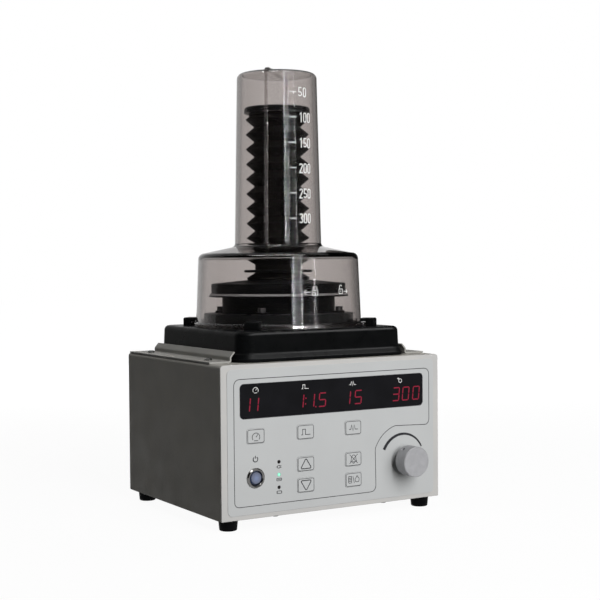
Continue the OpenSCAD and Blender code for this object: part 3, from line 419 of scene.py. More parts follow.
def sums(tree, operation, *values):
    """A Math node's result, its inputs numbers or sockets."""
    return node(tree, "ShaderNodeMath", dict(enumerate(values)), operation=operation).outputs[0]


def tree_with(name, inputs):
    """An empty geometry tree with named inputs, and the sockets that give them."""
    tree = bpy.data.node_groups.new(name, "GeometryNodeTree")
    tree.interface.new_socket("Geometry", in_out="INPUT", socket_type="NodeSocketGeometry")
    for label, kind, value in inputs + [("Finish", "Material", None)]:
        socket = tree.interface.new_socket(label, in_out="INPUT", socket_type="NodeSocket" + kind)
        if value is not None:
            socket.default_value = value
    tree.interface.new_socket("Geometry", in_out="OUTPUT", socket_type="NodeSocketGeometry")
    return tree, tree.nodes.new("NodeGroupInput").outputs


def closed_off(tree, geometry, finish):
    """Ends a geometry tree: instances made real, with the finish on them."""
    real = node(tree, "GeometryNodeRealizeInstances", {"Geometry": geometry})
    coat = node(tree, "GeometryNodeSetMaterial", {"Geometry": real.outputs["Geometry"], "Material": finish})
    node(tree, "NodeGroupOutput", {"Geometry": coat.outputs["Geometry"]})
    return tree


def grown(name, mesh, tree, values):
    """What a geometry tree makes of a mesh, with its inputs set by identifier."""
    obj = bpy.data.objects.new(name, mesh)
    step = obj.modifiers.new(name, "NODES")
    step.node_group = tree
    for item in tree.interface.items_tree:
        if item.in_out == "INPUT" and item.name in values:
            step[item.identifier] = values[item.name]
    return settled(obj)


def copies_tree():
    """Copies of one shape, set on points by their turn and stretch."""
    tree, get = tree_with("set_in_places", [("Shape", "Object", None), ("Size", "Float", 1.0)])

    def stored(label):
        kind = "GeometryNodeInputNamedAttribute"
        return node(tree, kind, {"Name": label}, data_type="FLOAT_VECTOR").outputs["Attribute"]
    shape = node(tree, "GeometryNodeObjectInfo", {"Object": get["Shape"]})
    spin = node(tree, "FunctionNodeEulerToRotation", {"Euler": stored("turn")})
    grow = node(tree, "ShaderNodeVectorMath", operation="SCALE")
    fill(tree, grow.inputs[0], stored("stretch"))
    fill(tree, grow.inputs["Scale"], get["Size"])
    spread = node(tree, "GeometryNodeInstanceOnPoints", {
        "Points": get["Geometry"], "Instance": shape.outputs["Geometry"],
        "Rotation": spin.outputs["Rotation"], "Scale": grow.outputs["Vector"]})
    return closed_off(tree, spread.outputs["Instances"], get["Finish"])


def at(x, y, z, turn=(0, 0, 0), stretch=(1, 1, 1)):
    """A place for a copy, with its turn in degrees and its stretch."""
    return (x, y, z), turn, stretch


def copies(name, shape, places, finish):
    """One shape at many places."""
    points = bpy.data.meshes.new(name + "_places")
    points.from_pydata([spot for spot, _, _ in places], [], [])
    turns = [radians(angle) for _, turn, _ in places for angle in turn]
    stretches = [share for _, _, stretch in places for share in stretch]
    for label, values in (("turn", turns), ("stretch", stretches)):
        points.attributes.new(label, "FLOAT_VECTOR", "POINT").data.foreach_set("vector", values)
    template = linked(name + "_shape", shape)
    mesh = grown(name, points, COPIES, {"Shape": template, "Finish": FINISHES[finish]})
    bpy.data.objects.remove(template)
    return mesh


def folds_tree():
    """A folded sleeve: rings whose radius and height follow the fold rule."""
    tree, get = tree_with("folded_sleeve", [
        ("Folds", "Int", 11), ("Fold radius", "Float", 30.0), ("Valley radius", "Float", 22.0),
        ("First fold", "Float", 0.0), ("Sag pitch", "Float", 10.0), ("Sag folds", "Float", 2.0),
        ("Pitch", "Float", 14.0), ("Crispness", "Float", 0.97), ("Rings per fold", "Int", 16),
        ("Sides", "Int", 96)])

    def calc(operation, *values):
        return sums(tree, operation, *values)
    rings = calc("ADD", calc("MULTIPLY", get["Folds"], get["Rings per fold"]), 1)
    grid = node(tree, "GeometryNodeMeshGrid", {
        "Size X": 1.0, "Size Y": 1.0, "Vertices X": calc("ADD", get["Sides"], 1), "Vertices Y": rings})
    spot = node(tree, "GeometryNodeInputPosition").outputs[0]
    split = node(tree, "ShaderNodeSeparateXYZ", {0: spot}).outputs
    angle = calc("MULTIPLY", calc("ADD", split["X"], 0.5), 2 * pi)
    along = calc("MULTIPLY", calc("ADD", split["Y"], 0.5), get["Folds"])
    steps = calc("SUBTRACT", along, 0.5)
    wave = calc("COSINE", calc("MULTIPLY", steps, 2 * pi))
    crisp = calc("ARCSINE", calc("MULTIPLY", wave, get["Crispness"]))
    share = calc("MULTIPLY_ADD", calc("DIVIDE", crisp, calc("ARCSINE", get["Crispness"])), 0.5, 0.5)
    depth = calc("SUBTRACT", get["Fold radius"], get["Valley radius"])
    radius = calc("MULTIPLY_ADD", share, depth, get["Valley radius"])
    sagged = calc("MULTIPLY", calc("MINIMUM", steps, get["Sag folds"]), get["Sag pitch"])
    hung = calc("MULTIPLY", calc("MAXIMUM", calc("SUBTRACT", steps, get["Sag folds"]), 0.0), get["Pitch"])
    join = node(tree, "ShaderNodeCombineXYZ", {
        "X": calc("MULTIPLY", radius, calc("COSINE", angle)),
        "Y": calc("MULTIPLY", radius, calc("SINE", angle)),
        "Z": calc("ADD", calc("ADD", sagged, hung), get["First fold"])})
    place = node(tree, "GeometryNodeSetPosition", {
        "Geometry": grid.outputs["Mesh"], "Position": join.outputs[0]})
    weld = node(tree, "GeometryNodeMergeByDistance", {"Geometry": place.outputs[0], "Distance": 0.001})
    return closed_off(tree, weld.outputs[0], get["Finish"])


def marks_tree():
    """A column of tick marks, one pitch apart."""
    tree, get = tree_with("tick_marks", [
        ("Count", "Int", 6), ("Pitch", "Float", 23.7), ("Length", "Float", 7.5), ("Width", "Float", 0.9),
        ("Thickness", "Float", 0.1), ("Cuts", "Int", 10)])
    step = node(tree, "ShaderNodeCombineXYZ", {"Y": get["Pitch"]})
    column = node(tree, "GeometryNodeMeshLine", {"Count": get["Count"], "Offset": step.outputs[0]})
    size = node(tree, "ShaderNodeCombineXYZ", {"X": get["Length"], "Y": get["Width"], "Z": get["Thickness"]})
    bar = node(tree, "GeometryNodeMeshCube", {"Size": size.outputs[0], "Vertices X": get["Cuts"]})
    spread = node(tree, "GeometryNodeInstanceOnPoints", {
        "Points": column.outputs[0], "Instance": bar.outputs["Mesh"]})
    return closed_off(tree, spread.outputs[0], get["Finish"])


# Finishes

class Finish:
    """A node material built up around one surface shader."""

    def __init__(self, name, colour, rough=0.5, metal=0.0, specular=0.5, **fixed):
        self.material = bpy.data.materials.new(name)
        self.material.use_nodes = True
        self.tree = self.material.node_tree
        self.shader = next(n for n in self.tree.nodes if n.type == "BSDF_PRINCIPLED")
        self.colour = tuple(colour)
        self.bumped = None
        self.give({"Base Color": self.colour + (1.0,), "Roughness": rough, "Metallic": metal,
                   "Specular IOR Level": specular})
        self.give({label.replace("_", " "): value for label, value in fixed.items()})

    def give(self, inputs):
        """Sets or links inputs of the surface shader."""
        for label, value in inputs.items():
            fill(self.tree, self.shader.inputs[label], value)
        return self

    def where(self, offset=(0, 0, 0), turn=(0, 0, 0), scale=(1, 1, 1)):
        """Object coordinates, centred or turned for a pattern."""
        return node(self.tree, "ShaderNodeMapping", {
            "Vector": node(self.tree, "ShaderNodeTexCoord").outputs["Object"],
            "Location": offset, "Rotation": turn, "Scale": scale}, vector_type="TEXTURE").outputs["Vector"]

    def noise(self, size, detail=3.0):
        """Even noise whose grains are about size metres."""
        return node(self.tree, "ShaderNodeTexNoise", {
            "Scale": 1.0 / size, "Detail": detail, "Roughness": 0.55, "Vector": self.where()}).outputs["Fac"]

    def spread(self, value, low, high, start=0.35, end=0.65):
        """A value mapped onto a range."""
        ends = {"From Min": start, "From Max": end, "To Min": low, "To Max": high}
        return node(self.tree, "ShaderNodeMapRange", {"Value": value, **ends}).outputs["Result"]

    def mix(self, share, *ends):
        """Two colours, or sockets, mixed by a share."""
        first, second = (end + (1.0,) if isinstance(end, tuple) else end for end in ends)
        inputs = {"Factor": share, 6: first, 7: second}
        return node(self.tree, "ShaderNodeMix", inputs, data_type="RGBA").outputs[2]

    def mottle(self, size, amount, tint=(1, 1, 1)):
        """The colour drifts a little, in soft patches."""
        low = tuple(c * (1 - amount) for c in self.colour)
        high = tuple(min(1.0, c * (1 + amount) * t) for c, t in zip(self.colour, tint))
        return self.give({"Base Color": self.mix(self.spread(self.noise(size), 0, 1), low, high)})

    def uneven(self, size, low, high):
        """The gloss drifts between two roughnesses."""
        return self.give({"Roughness": self.spread(self.noise(size, 4.0), low, high)})

    def grain(self, size, depth, source=None):
        """Fine relief, depth in metres, from noise or from a pattern."""
        relief = {"Strength": 1.0, "Distance": depth, "Height": source or self.noise(size, 2.0)}
        if self.bumped is not None:
            relief["Normal"] = self.bumped
        self.bumped = node(self.tree, "ShaderNodeBump", relief).outputs["Normal"]
        return self.give({"Normal": self.bumped})

    def rings(self, centre, turn, pitch, depth):
        """Fine turning marks round an axis along the mapped Z."""
        split = node(self.tree, "ShaderNodeSeparateXYZ", {0: self.where(centre, turn)}).outputs
        squares = [sums(self.tree, "MULTIPLY", split[axis], split[axis]) for axis in ("X", "Y")]
        path = sums(self.tree, "ADD", sums(self.tree, "SQRT", sums(self.tree, "ADD", *squares)), split["Z"])
        wave = sums(self.tree, "SINE", sums(self.tree, "MULTIPLY", path, 2 * pi / pitch))
        return self.grain(0, depth, wave)


def painted_metal(name, colour, rough=0.42, specular=0.18):
    """Powder coat: a fine orange peel over a slightly uneven colour."""
    finish = Finish(name, colour, rough, specular=specular).mottle(0.035, 0.025, (1.01, 1.0, 0.985))
    return finish.uneven(0.02, rough - 0.05, rough + 0.08).grain(0.0011, 0.00004).grain(0.0004, 0.000012)


def moulded_plastic(name, colour, rough=0.4, specular=0.25):
    """Moulded plastic with a fine spark texture."""
    finish = Finish(name, colour, rough, specular=specular).mottle(0.03, 0.12)
    return finish.uneven(0.012, rough - 0.06, rough + 0.1).grain(0.0005, 0.00002)


def rubber(name, colour, rough=0.55, specular=0.2):
    """Matt rubber with a faint bloom."""
    finish = Finish(name, colour, rough, specular=specular).mottle(0.012, 0.35)
    return finish.uneven(0.006, rough - 0.1, rough + 0.12).grain(0.0008, 0.00003)


def bare_metal(name, colour, rough=0.3, metal=1.0):
    """Bright or plated metal with fine handling marks."""
    finish = Finish(name, colour, rough, metal).mottle(0.004, 0.08)
    return finish.uneven(0.003, max(0.03, rough - 0.08), rough + 0.1).grain(0.0004, 0.000006)


def printed_film(name, colour, rough, patch, drift, spots):
    """Smooth polyester film."""
    finish = Finish(name, colour, rough, specular=0.25).mottle(patch, drift)
    return finish.uneven(spots, rough - 0.045, rough + 0.055).grain(0.0003, 0.000008)


def ink(name, colour, specular, drift, low, high):
    """Screen-printed ink."""
    return Finish(name, colour, specular=specular).mottle(0.004, drift).uneven(0.004, low, high)


def dark_filter(name, colour):
    """The dark display window."""
    return Finish(name, colour, 0.12, specular=0.06).mottle(0.02, 0.2).uneven(0.01, 0.08, 0.16)


def front_at(place):
    """A front position in metres."""
    return place[0] * MM, OVERLAY_FACE * MM, (CABINET_BOTTOM + place[1]) * MM


def turned_aluminium(name, colour):
    """The knob: fine turned aluminium, its marks round the knob's own axis."""
    finish = Finish(name, colour, 0.42, 0.3, 0.3).mottle(0.006, 0.05).uneven(0.004, 0.36, 0.5)
    return finish.rings(front_at(KNOB_PLACE), (pi / 2, 0, 0), 0.0007, 0.000012)


def circuit_card(name, colour):
    """A green board with copper tracks under the mask."""
    finish = Finish(name, colour, 0.35, specular=0.4)
    tracks = node(finish.tree, "ShaderNodeTexBrick", {
        "Vector": finish.where(turn=(pi / 2, 0, 0)), "Scale": 160.0, "Mortar Size": 0.06,
        "Color1": (0.008, 0.08, 0.028, 1), "Color2": (0.012, 0.12, 0.045, 1),
        "Mortar": (0.05, 0.24, 0.07, 1)})
    finish.give({"Base Color": tracks.outputs["Color"]})
    return finish.uneven(0.004, 0.28, 0.45).grain(0, 0.00003, tracks.outputs["Fac"])


def lit_face(name, middle, place, edge, reach, strength, body=None):
    """A lit lens: bright in the middle, cooler towards its rim."""
    finish = Finish(name, body or edge, 0.25, specular=0.3)
    spot = finish.where(place, scale=(reach, 10.0, reach))
    away = node(finish.tree, "ShaderNodeVectorMath", {0: spot}, operation="LENGTH").outputs["Value"]
    colour = finish.mix(finish.spread(away, 0, 1, 0.1, 1.0), middle, edge)
    return finish.give({"Emission Color": colour, "Emission Strength": strength}).uneven(0.002, 0.2, 0.35)


def smoked_plastic(name, colour, mirror=0.13, rough=(0.018, 0.026), density=75.0, painted_dark_stop=(0.93, 0.965)):
    """The housing: clear plastic with a warm smoke tint, and painted shade: darker colour at grazing rims,
    near black where its edges turn upwards.
    """
    tint = (mirror, mirror * 0.97, mirror, 1.0)
    finish = Finish(name, colour, 0.02, IOR=1.45, Transmission_Weight=1.0, Specular_Tint=tint)
    tree = finish.tree
    haze = {"Color": (0.133, 0.081, 0.055, 1.0), "Density": density}
    smoke = node(tree, "ShaderNodeVolumeAbsorption", haze)
    output = next(n for n in tree.nodes if n.type == "OUTPUT_MATERIAL")
    fill(tree, output.inputs["Volume"], smoke.outputs["Volume"])
    # Painted shade: the colour darkens towards the silhouette, where the wall is seen edge-on.
    rim = node(tree, "ShaderNodeLayerWeight", {"Blend": 0.5})
    share = finish.spread(rim.outputs["Facing"], 0, 1, 0.62, 0.97)
    side = finish.mix(share, finish.colour, (0.22, 0.205, 0.20))
    # Painted shade: near-black colour where a rounded edge turns up towards a flat top, as round the crown;
    # the stop is where the flat top begins.
    upward = node(tree, "ShaderNodeNewGeometry").outputs["Normal"]
    upward = node(tree, "ShaderNodeSeparateXYZ", {0: upward}).outputs["Z"]
    painted_dark_rising, flat = finish.spread(upward, 0, 1, 0.60, 0.72), finish.spread(upward, 1, 0, *painted_dark_stop)
    edge = sums(tree, "MULTIPLY", painted_dark_rising, flat)
    finish.give({"Base Color": finish.mix(edge, side, (0.004, 0.0037, 0.0035))})
    return finish.uneven(0.05, *rough)


# Each way of making a finish, with its finishes: colour first, then what that way takes after it
SMOKE = (0.80, 0.775, 0.765)
PALETTE = (
    (painted_metal, {
        "cabinet_paint": ((0.455, 0.441, 0.405), 0.42, 0.06),
        "panel_paint": ((0.53, 0.525, 0.515),),
        "rail_paint": ((0.36, 0.355, 0.335), 0.45, 0.08)}),
    (printed_film, {
        "overlay_film": ((0.515, 0.525, 0.525), 0.405, 0.05, 0.015, 0.01),
        "key_film": ((0.52, 0.53, 0.53), 0.375, 0.01, 0.02, 0.004)}),
    (dark_filter, {"dark_window": ((0.006, 0.006, 0.0075),)}),
    (circuit_card, {"circuit_board": ((0.01, 0.10, 0.035),)}),
    (turned_aluminium, {"knob_aluminium": ((0.415, 0.415, 0.43),)}),
    (bare_metal, {
        "post_brass": ((0.60, 0.42, 0.16),),
        "valve_brass": ((0.58, 0.41, 0.17), 0.28),
        "bright_ring": ((0.17, 0.167, 0.163), 0.12),
        "screw_steel": ((0.11, 0.11, 0.107), 0.25),
        "black_steel": ((0.03, 0.03, 0.032), 0.4, 0.6),
        "block_aluminium": ((0.5, 0.5, 0.51), 0.38, 0.8)}),
    (moulded_plastic, {
        "digit_case": ((0.03, 0.03, 0.032), 0.5),
        "black_moulding": ((0.003, 0.0033, 0.0035), 0.3, 0.035),
        # A darker copy of black_moulding for the pieces inside the housing: painted shade.
        "inner_moulding": ((0.002, 0.0021, 0.0022), 0.35, 0.012),
        # A grey ring along the chamber's bevel: a painted highlight.
        "worn_edge": ((0.085, 0.085, 0.087), 0.4, 0.2),
        "inlet_moulding": ((0.012, 0.012, 0.013), 0.45, 0.3),
        "pale_moulding": ((0.62, 0.61, 0.57), 0.45, 0.35),
        "battery_film": ((0.02, 0.09, 0.24), 0.3, 0.4),
        "dark_lamp": ((0.014, 0.013, 0.013), 0.3, 0.1)}),
    (rubber, {
        "seal_rubber": ((0.01, 0.01, 0.01),),
        "bellows_rubber": ((0.0028, 0.0026, 0.0024), 0.5, 0.02),
        "foot_rubber": ((0.0025, 0.0025, 0.003), 0.6, 0.05),
        "gas_hose": ((0.02, 0.05, 0.14), 0.4, 0.35)}),
    (smoked_plastic, {
        "smoked_clear": (SMOKE,),
        # The edges' finish paints every upward-facing face near black: painted shade on the ridge top, flange
        # and tabs.
        "smoked_edge": (SMOKE, 0.95, (0.10, 0.16), 400.0, (1.5, 1.6))}),
    (lit_face, {
        "green_lamp": ((0.50, 0.90, 0.72), front_at((LAMP_X, LAMP_HEIGHTS["lamp_middle"])),
                       (0.08, 0.45, 0.28), 0.0018, 0.95),
        "lit_cap": ((0.09, 0.14, 0.28), front_at(POWER_PLACE), (0.0, 0.005, 0.02), 0.0058, 0.8,
                    (0.115, 0.118, 0.14)),
        "red_segment": ((0.15, 0.003, 0.017), (0, 0, 0), (0.13, 0.003, 0.014), 0.2, 1.0)}),
    (ink, {
        "dark_ink": ((0.032, 0.032, 0.036), 0.2, 0.25, 0.42, 0.6),
        "white_ink": ((0.80, 0.80, 0.79), 0.3, 0.06, 0.4, 0.55)}),
)
FINISHES = {name: make(name, *values).material for make, table in PALETTE for name, values in table.items()}
COPIES = copies_tree()


# Cabinet

def front_holes(gap):
    """The front's cut-outs, each with the same gap round what stands in it."""
    w, h, r, middle = WINDOW
    kw, kh, kr = KEY_SIZE
    holes = [rectangle(0, middle, w + 2 * gap, h + 2 * gap, r + gap)]
    holes += [rectangle(x, z, kw + 2 * gap, kh + 2 * gap, kr + gap) for x, z in KEY_PLACES.values()]
    holes += [circle(LAMP_X, z, 1.5 + gap, 24) for z in LAMP_HEIGHTS.values()]
    return holes + [circle(*POWER_PLACE, 8.0 + gap), circle(*KNOB_PLACE, 5.0 + gap)]


def cabinet_panels():
    """Front and rear panels with softened edges, each with its bottom flange."""
    half, inner, flange_w, reach = CABINET_W / 2, REAR_FACE - PANEL_T, 202.0, 14.0
    arch = rounded([(-half, 0, 0.6), (half, 0, 0.6), (half, CABINET_H, 3), (-half, CABINET_H, 3)], steps=8)
    openings = [rectangle(-SOCKET_X, SOCKET_Z, 27.0, 19.5, 0.3), circle(GAS_X, SOCKET_Z, 7.4)]
    openings += [circle(side * REAR_SCREW_X, REAR_SCREW_Z, 2.3, 24) for side in (-1, 1)]
    panels = (("front", on_front, front_holes(0.3), -1), ("rear", on_back, openings, 1))
    for name, stand, holes, side in panels:
        panel = stand(plate(name, arch, holes, PANEL_T, 0.45), face=side * inner)
        flange = plate("flange", rectangle(0, 0, flange_w, reach, 1.0), [], PANEL_T, 0.3)
        placed(flange, 0, side * (inner - reach / 2), CABINET_BOTTOM + 1.5)
        put("panel_" + name, joined(name, [panel, flange]), "panel_paint", replaces=[name + "_panel"])


def pan_head_screw():
    """A domed screw head with a cross recess, and its shank."""
    dome = bent([(2.0, -5, 0.4), (2.0, 0, 0), (3.6, 0, 0.15), (3.6, 0.7, 0.5), (2.6, 2.05, 1.2), (0, 2.2, 0)])
    head = lathe("screw", [(0, -5)] + dome, 40)
    slot = [(rectangle(0, 0, 1.3, 0.45, 0.1, 2), 0.7), (rectangle(0, 0, 4.0, 0.85, 0.2, 2), 2.6)]
    return carved("screw", head, [turned(stacked("arm", slot), angle) for angle in (0, 90)])


def cap_screw():
    """A socket head screw."""
    side = bent([(2.0, -4, 0.3), (2.0, 0, 0), (3.5, 0, 0.2), (3.5, 4, 0.35), (1.9, 4, 0.1), (1.7, 3.9, 0),
                 (1.7, 2.0, 0), (0, 1.7, 0)], 4)
    return lathe("cap_screw", [(0, -4)] + side, 36)


def rubber_foot():
    """A tapered foot with a screw recess underneath."""
    return lathe("foot", rounded([(2.3, 10, 0), (8.75, 10, 0.4), (7.75, 0, 1.1), (4.6, 0, 0.5), (4.6, 7, 0.2),
                                  (2.3, 7, 0)]), 64)


def fasteners_and_feet():
    """Screws and feet, each kind set in all its places."""
    four, screw, low = [(x, y) for x in (-1, 1) for y in (-1, 1)], pan_head_screw(), CABINET_BOTTOM
    cabinet = [at(x * SIDE_SCREW_X, y * SIDE_SCREW_Y, low, (180, 0, 20 * x)) for x, y in four]
    cabinet += [at(x * END_SCREW_X, y * END_SCREW_Y, low, (180, 0, 35 * y)) for x, y in four]
    cabinet += [at(x * REAR_SCREW_X, REAR_FACE, low + REAR_SCREW_Z, (90, 25 * x, 180)) for x in (-1, 1)]
    rail = [at(x * RAIL_SCREW_X, y, CABINET_TOP + RAIL_T, (0, 0, 17 * x + y))
            for x in (-1, 1) for y in RAIL_SCREW_Y]
    feet = [at(x * FOOT_X, y * FOOT_Y, 0) for x, y in four]
    foot = [at(x * FOOT_X, y * FOOT_Y, 7, (180, 0, 10)) for x, y in four]
    spots = [(angle, polar(EAR_SCREW_R, angle)) for angle in LOCK_ANGLES]
    chamber = [at(x, BASE_BACK + y, CABINET_TOP + BOSS_TOP + EAR_T, (0, 0, angle)) for angle, (x, y) in spots]
    for name, shape, places, finish, stands_for in (
            ("screws_cabinet", screw, cabinet, "screw_steel", "cabinet_screws"),
            ("screws_rail", screw, rail, "screw_steel", "rail_screws"),
            ("rubber_feet", rubber_foot(), feet, "foot_rubber", "feet"),
            ("screws_foot", screw, foot, "screw_steel", "foot_screws"),
            ("screws_chamber", cap_screw(), chamber, "black_steel", "chamber_screws")):
        put(name, copies(name, shape, places, finish), finish, replaces=[stands_for])


def rails():
    """Two bent clamp strips that hold the base down on the cabinet."""
    x0, x1, t = RAIL_IN, RAIL_OUT, RAIL_T
    section = rounded([(x1, 0, 0.25), (x0, 0, 1.9), (x0, 4.6, 1.6), (x0 - 3.8, 9.2, 0.3),
                       (x0 - 2.6, 9.8, 0.3), (x0 + t, 5.2, 2.4), (x0 + t, t, 0.8), (x1, t, 0.25)])
    for side, name in ((-1, "left"), (1, "right")):
        strip = plate("rail", [(side * x, z) for x, z in section], [], RAIL_LENGTH, 0.18, 2)
        placed(strip, 0, RAIL_REAR, 0, FACING)
        bend = rectangle(side * (x0 - 1.0), RAIL_REAR - RAIL_CUT / 2 + 1, 9.0, RAIL_CUT + 2, 0.4)
        strip = carved("rail", strip, [stacked("notch", [(bend, t), (bend, 12.0)])])
        placed(strip, z=CABINET_TOP)
        put("rail_" + name, strip, "rail_paint", replaces=["clamp_rail_" + name], sharp=50)


# Front

def overlay():
    """The printed film over the front panel."""
    edge = rectangle(0, CABINET_H / 2, OVERLAY_W, OVERLAY_H, 4.5)
    film = plate("film", edge, front_holes(0.15), OVERLAY_T, 0.12, 2)
    put("overlay_sheet", on_front(film, face=PANEL_FACE), "overlay_film", replaces=["front_overlay"])


def softened(path, passes):
    """A closed path with its kinks eased."""
    for _ in range(passes):
        after = path[1:] + path[:1]
        path = [((path[k - 1][0] + 2 * x + after[k][0]) / 4, (path[k - 1][1] + 2 * y + after[k][1]) / 4)
                for k, (x, y) in enumerate(path)]
    return path


def even(path, step=0.6):
    """A closed path cut into even short steps."""
    fine = []
    for k, point in enumerate(path):
        a, b = Vector(point), Vector(path[(k + 1) % len(path)])
        parts = max(1, round((b - a).length / step))
        fine += [tuple(a.lerp(b, p / parts)) for p in range(parts)]
    return fine


def frame_line():
    """The thin line round the display and keys, hollowed round the knob."""
    left, right, inner, low, high = -103.5, 104.9, 43.9, 11.3, 122.3
    hollow = (74.5, 38.0, 33.6)
    path = rounded([(right, 70.3, 5), (right, high, 5), (left, high, 5), (left, low, 4), (inner, low, 5),
                    (inner, 49.0, 0)], steps=10)[:-1]
    path += arc(*hollow, 158, 105, 30)
    return softened(even(path), 8)


def sweep():
    """The tapered arc over the knob that says more or less."""
    return line("sweep", arc(*KNOB_PLACE, 23.7, 154, 26, 60), [3.1 - 1.7 * (k / 60) for k in range(61)])


def stroke(*points):
    """An open line of a sign."""
    return "open", list(points)


def loop(path):
    """A closed line of a sign."""
    return "closed", path


BELL = [(-3.3, -2.3, 0.5), (3.3, -2.3, 0.5), (2.3, -0.6, 0.8), (2.1, 1.6, 1.0),
        (0.8, 3.2, 0.8), (-0.8, 3.2, 0.8), (-2.1, 1.6, 1.0), (-2.3, -0.6, 0.8)]
FLASK = [(2.2, -2.4, 0.9), (5.6, -2.4, 0.9), (6.4, 0.6, 1.0), (4.6, 2.2, 0.5),
         (4.6, 3.2, 0.2), (3.2, 3.2, 0.2), (3.2, 2.2, 0.5), (1.4, 0.6, 1.0)]
PLUG = [(-1.1, -0.9, 0.4), (0.7, -0.9, 0.2), (0.7, 0.9, 0.2), (-1.1, 0.9, 0.4)]
CELL = [loop(rectangle(0, 0, 3.6, 1.7, 0.2, 2)), stroke((2.05, -0.45), (2.05, 0.45))]
PADLOCK = [loop(rectangle(0, -1.6, 5.6, 4.6, 0.5, 3)), stroke((0, -0.8), (0, -2.4))]
SIGNS = {
    "gauge": [stroke(*arc(0, -0.6, 2.5, 215, -35, 20)), stroke((0, -0.6), (1.2, 1.0)),
              stroke((-1.4, -2.6), (1.4, -2.6))],
    "breath": [stroke((-3.2, -1.6), (-2.2, -1.6), (-2.2, 1.6), (-0.2, 1.6), (-0.2, -1.6), (3.2, -1.6))],
    "pulse": [stroke((-3.2, -1.0), (-2.0, -1.0), (-1.2, 1.7), (-0.3, -1.8), (0.5, 1.7), (1.3, -1.0),
                     (3.2, -1.0))],
    "bag": [loop(circle(0.6, -0.3, 1.7, 24)), stroke((-0.8, 0.8), (-2.6, 2.0)),
            stroke((-0.2, 1.3), (-2.0, 2.5))],
    "up": [loop(rounded([(-5.0, -3.6, 0.8), (5.0, -3.6, 0.8), (0, 4.4, 0.8)], steps=4))],
    "down": [loop(rounded([(-5.0, 3.6, 0.8), (0, -4.4, 0.8), (5.0, 3.6, 0.8)], steps=4))],
    "quiet": [loop(rounded(BELL, steps=4)), stroke(*arc(0, -2.6, 0.9, 180, 360, 8)),
              stroke((-3.9, -3.6), (3.9, 3.8)), stroke((3.9, -3.6), (-3.9, 3.8))],
    "mode": [loop(rectangle(-4.2, 0.2, 3.4, 6.4, 0.5, 3)), stroke((0.6, -3.4), (-0.9, 3.4)),
             loop(rounded(FLASK, steps=4))] + [stroke((-5.9, y), (-2.5, y)) for y in (1.7, 0.2, -1.3)],
    "power": [stroke(*arc(0, 0, 1.75, 125, 415, 28)), stroke((0, 0.5), (0, 2.4))],
    "plug": [loop(rounded(PLUG, steps=3)), stroke((0.7, 0.5), (1.9, 0.5)), stroke((0.7, -0.5), (1.9, -0.5)),
             stroke((-1.1, 0), (-2.3, 0))],
    "battery": CELL + [stroke((-1.2, 0), (1.2, 0))],
    "low": CELL + [stroke((-1.2, -0.4), (-1.2, 0.4))],
    "shut": PADLOCK + [stroke((-1.9, 0.7), (-1.9, 2.2), *arc(0, 2.2, 1.9, 180, 0, 12), (1.9, 0.7))],
    "free": PADLOCK + [stroke((-1.9, 0.7), (-1.9, 2.8), *arc(0, 2.8, 1.9, 180, 20, 12))],
}


def drawn(name, strokes, x, z, scale=1.0, width=0.5, thickness=INK):
    """Strokes set down at x, z as printed lines."""
    return joined(name, [line(name, moved(path, x, z, scale), width, kind == "closed", thickness)
                         for kind, path in strokes])


def sign(name, *place):
    """A small drawn sign made of lines."""
    return drawn(name, SIGNS[name], *place)


def front_print():
    """What is printed dark on the film."""
    marks = [line("frame", frame_line(), 0.6, True), sweep(), sign("power", POWER_PLACE[0], 51.9, 1.3, 0.8)]
    for name, place in (("plug", "lamp_upper"), ("battery", "lamp_middle"), ("low", "lamp_lower")):
        marks.append(sign(name, LAMP_X, LAMP_HEIGHTS[place] - 4.3, 1.3, 0.52))
    w, h, r, middle = WINDOW
    marks.append(line("edge", rectangle(0, middle, w + 0.7, h + 0.7, r + 0.3), 0.5, True))
    put("film_print", on_front(joined("print", marks)), "dark_ink")


def window():
    """The dark filter over the digits, with its flange behind the panel."""
    w, h, r, middle = WINDOW
    face = plate("window", rectangle(0, middle, w, h, r), [], 2.5, 0.22)
    back = plate("flange", rectangle(0, middle, w + 6, h + 6, r + 3), [], 2.05, 0.2)
    pane = joined("window", [placed(face, z=-2.5), placed(back, z=-4.5)])
    put("display_pane", on_front(pane), "dark_window", replaces=["display_window"])


# Segments of a digit: their middles as shares of its width and height, and whether they stand upright
SEGMENTS = {"a": (0.5, 1.0, False), "b": (1.0, 0.75, True), "c": (1.0, 0.25, True), "d": (0.5, 0.0, False),
            "e": (0.0, 0.25, True), "f": (0.0, 0.75, True), "g": (0.5, 0.5, False)}
DIGITS = {"0": "abcdef", "1": "bc", "3": "abcdg", "5": "acdfg"}
SHOWN = (("1", -95.2), ("1", -87.0), ("1", -41.0), ("1", -29.8), ("5", -17.6), ("1", 8.6), ("5", 20.9),
         ("3", 63.0), ("0", 74.0), ("0", 85.8))
DOTS = ((-31.3, 97.0), (-30.8, 102.0), (-20.6, 93.8))
LABELS = (("gauge", -82.0, 112.6, 1.05, 0.45), ("breath", -31.6, 112.4, 1.1, 0.5),
          ("pulse", 19.0, 112.4, 1.1, 0.5), ("bag", 71.3, 112.3, 1.0, 0.5))


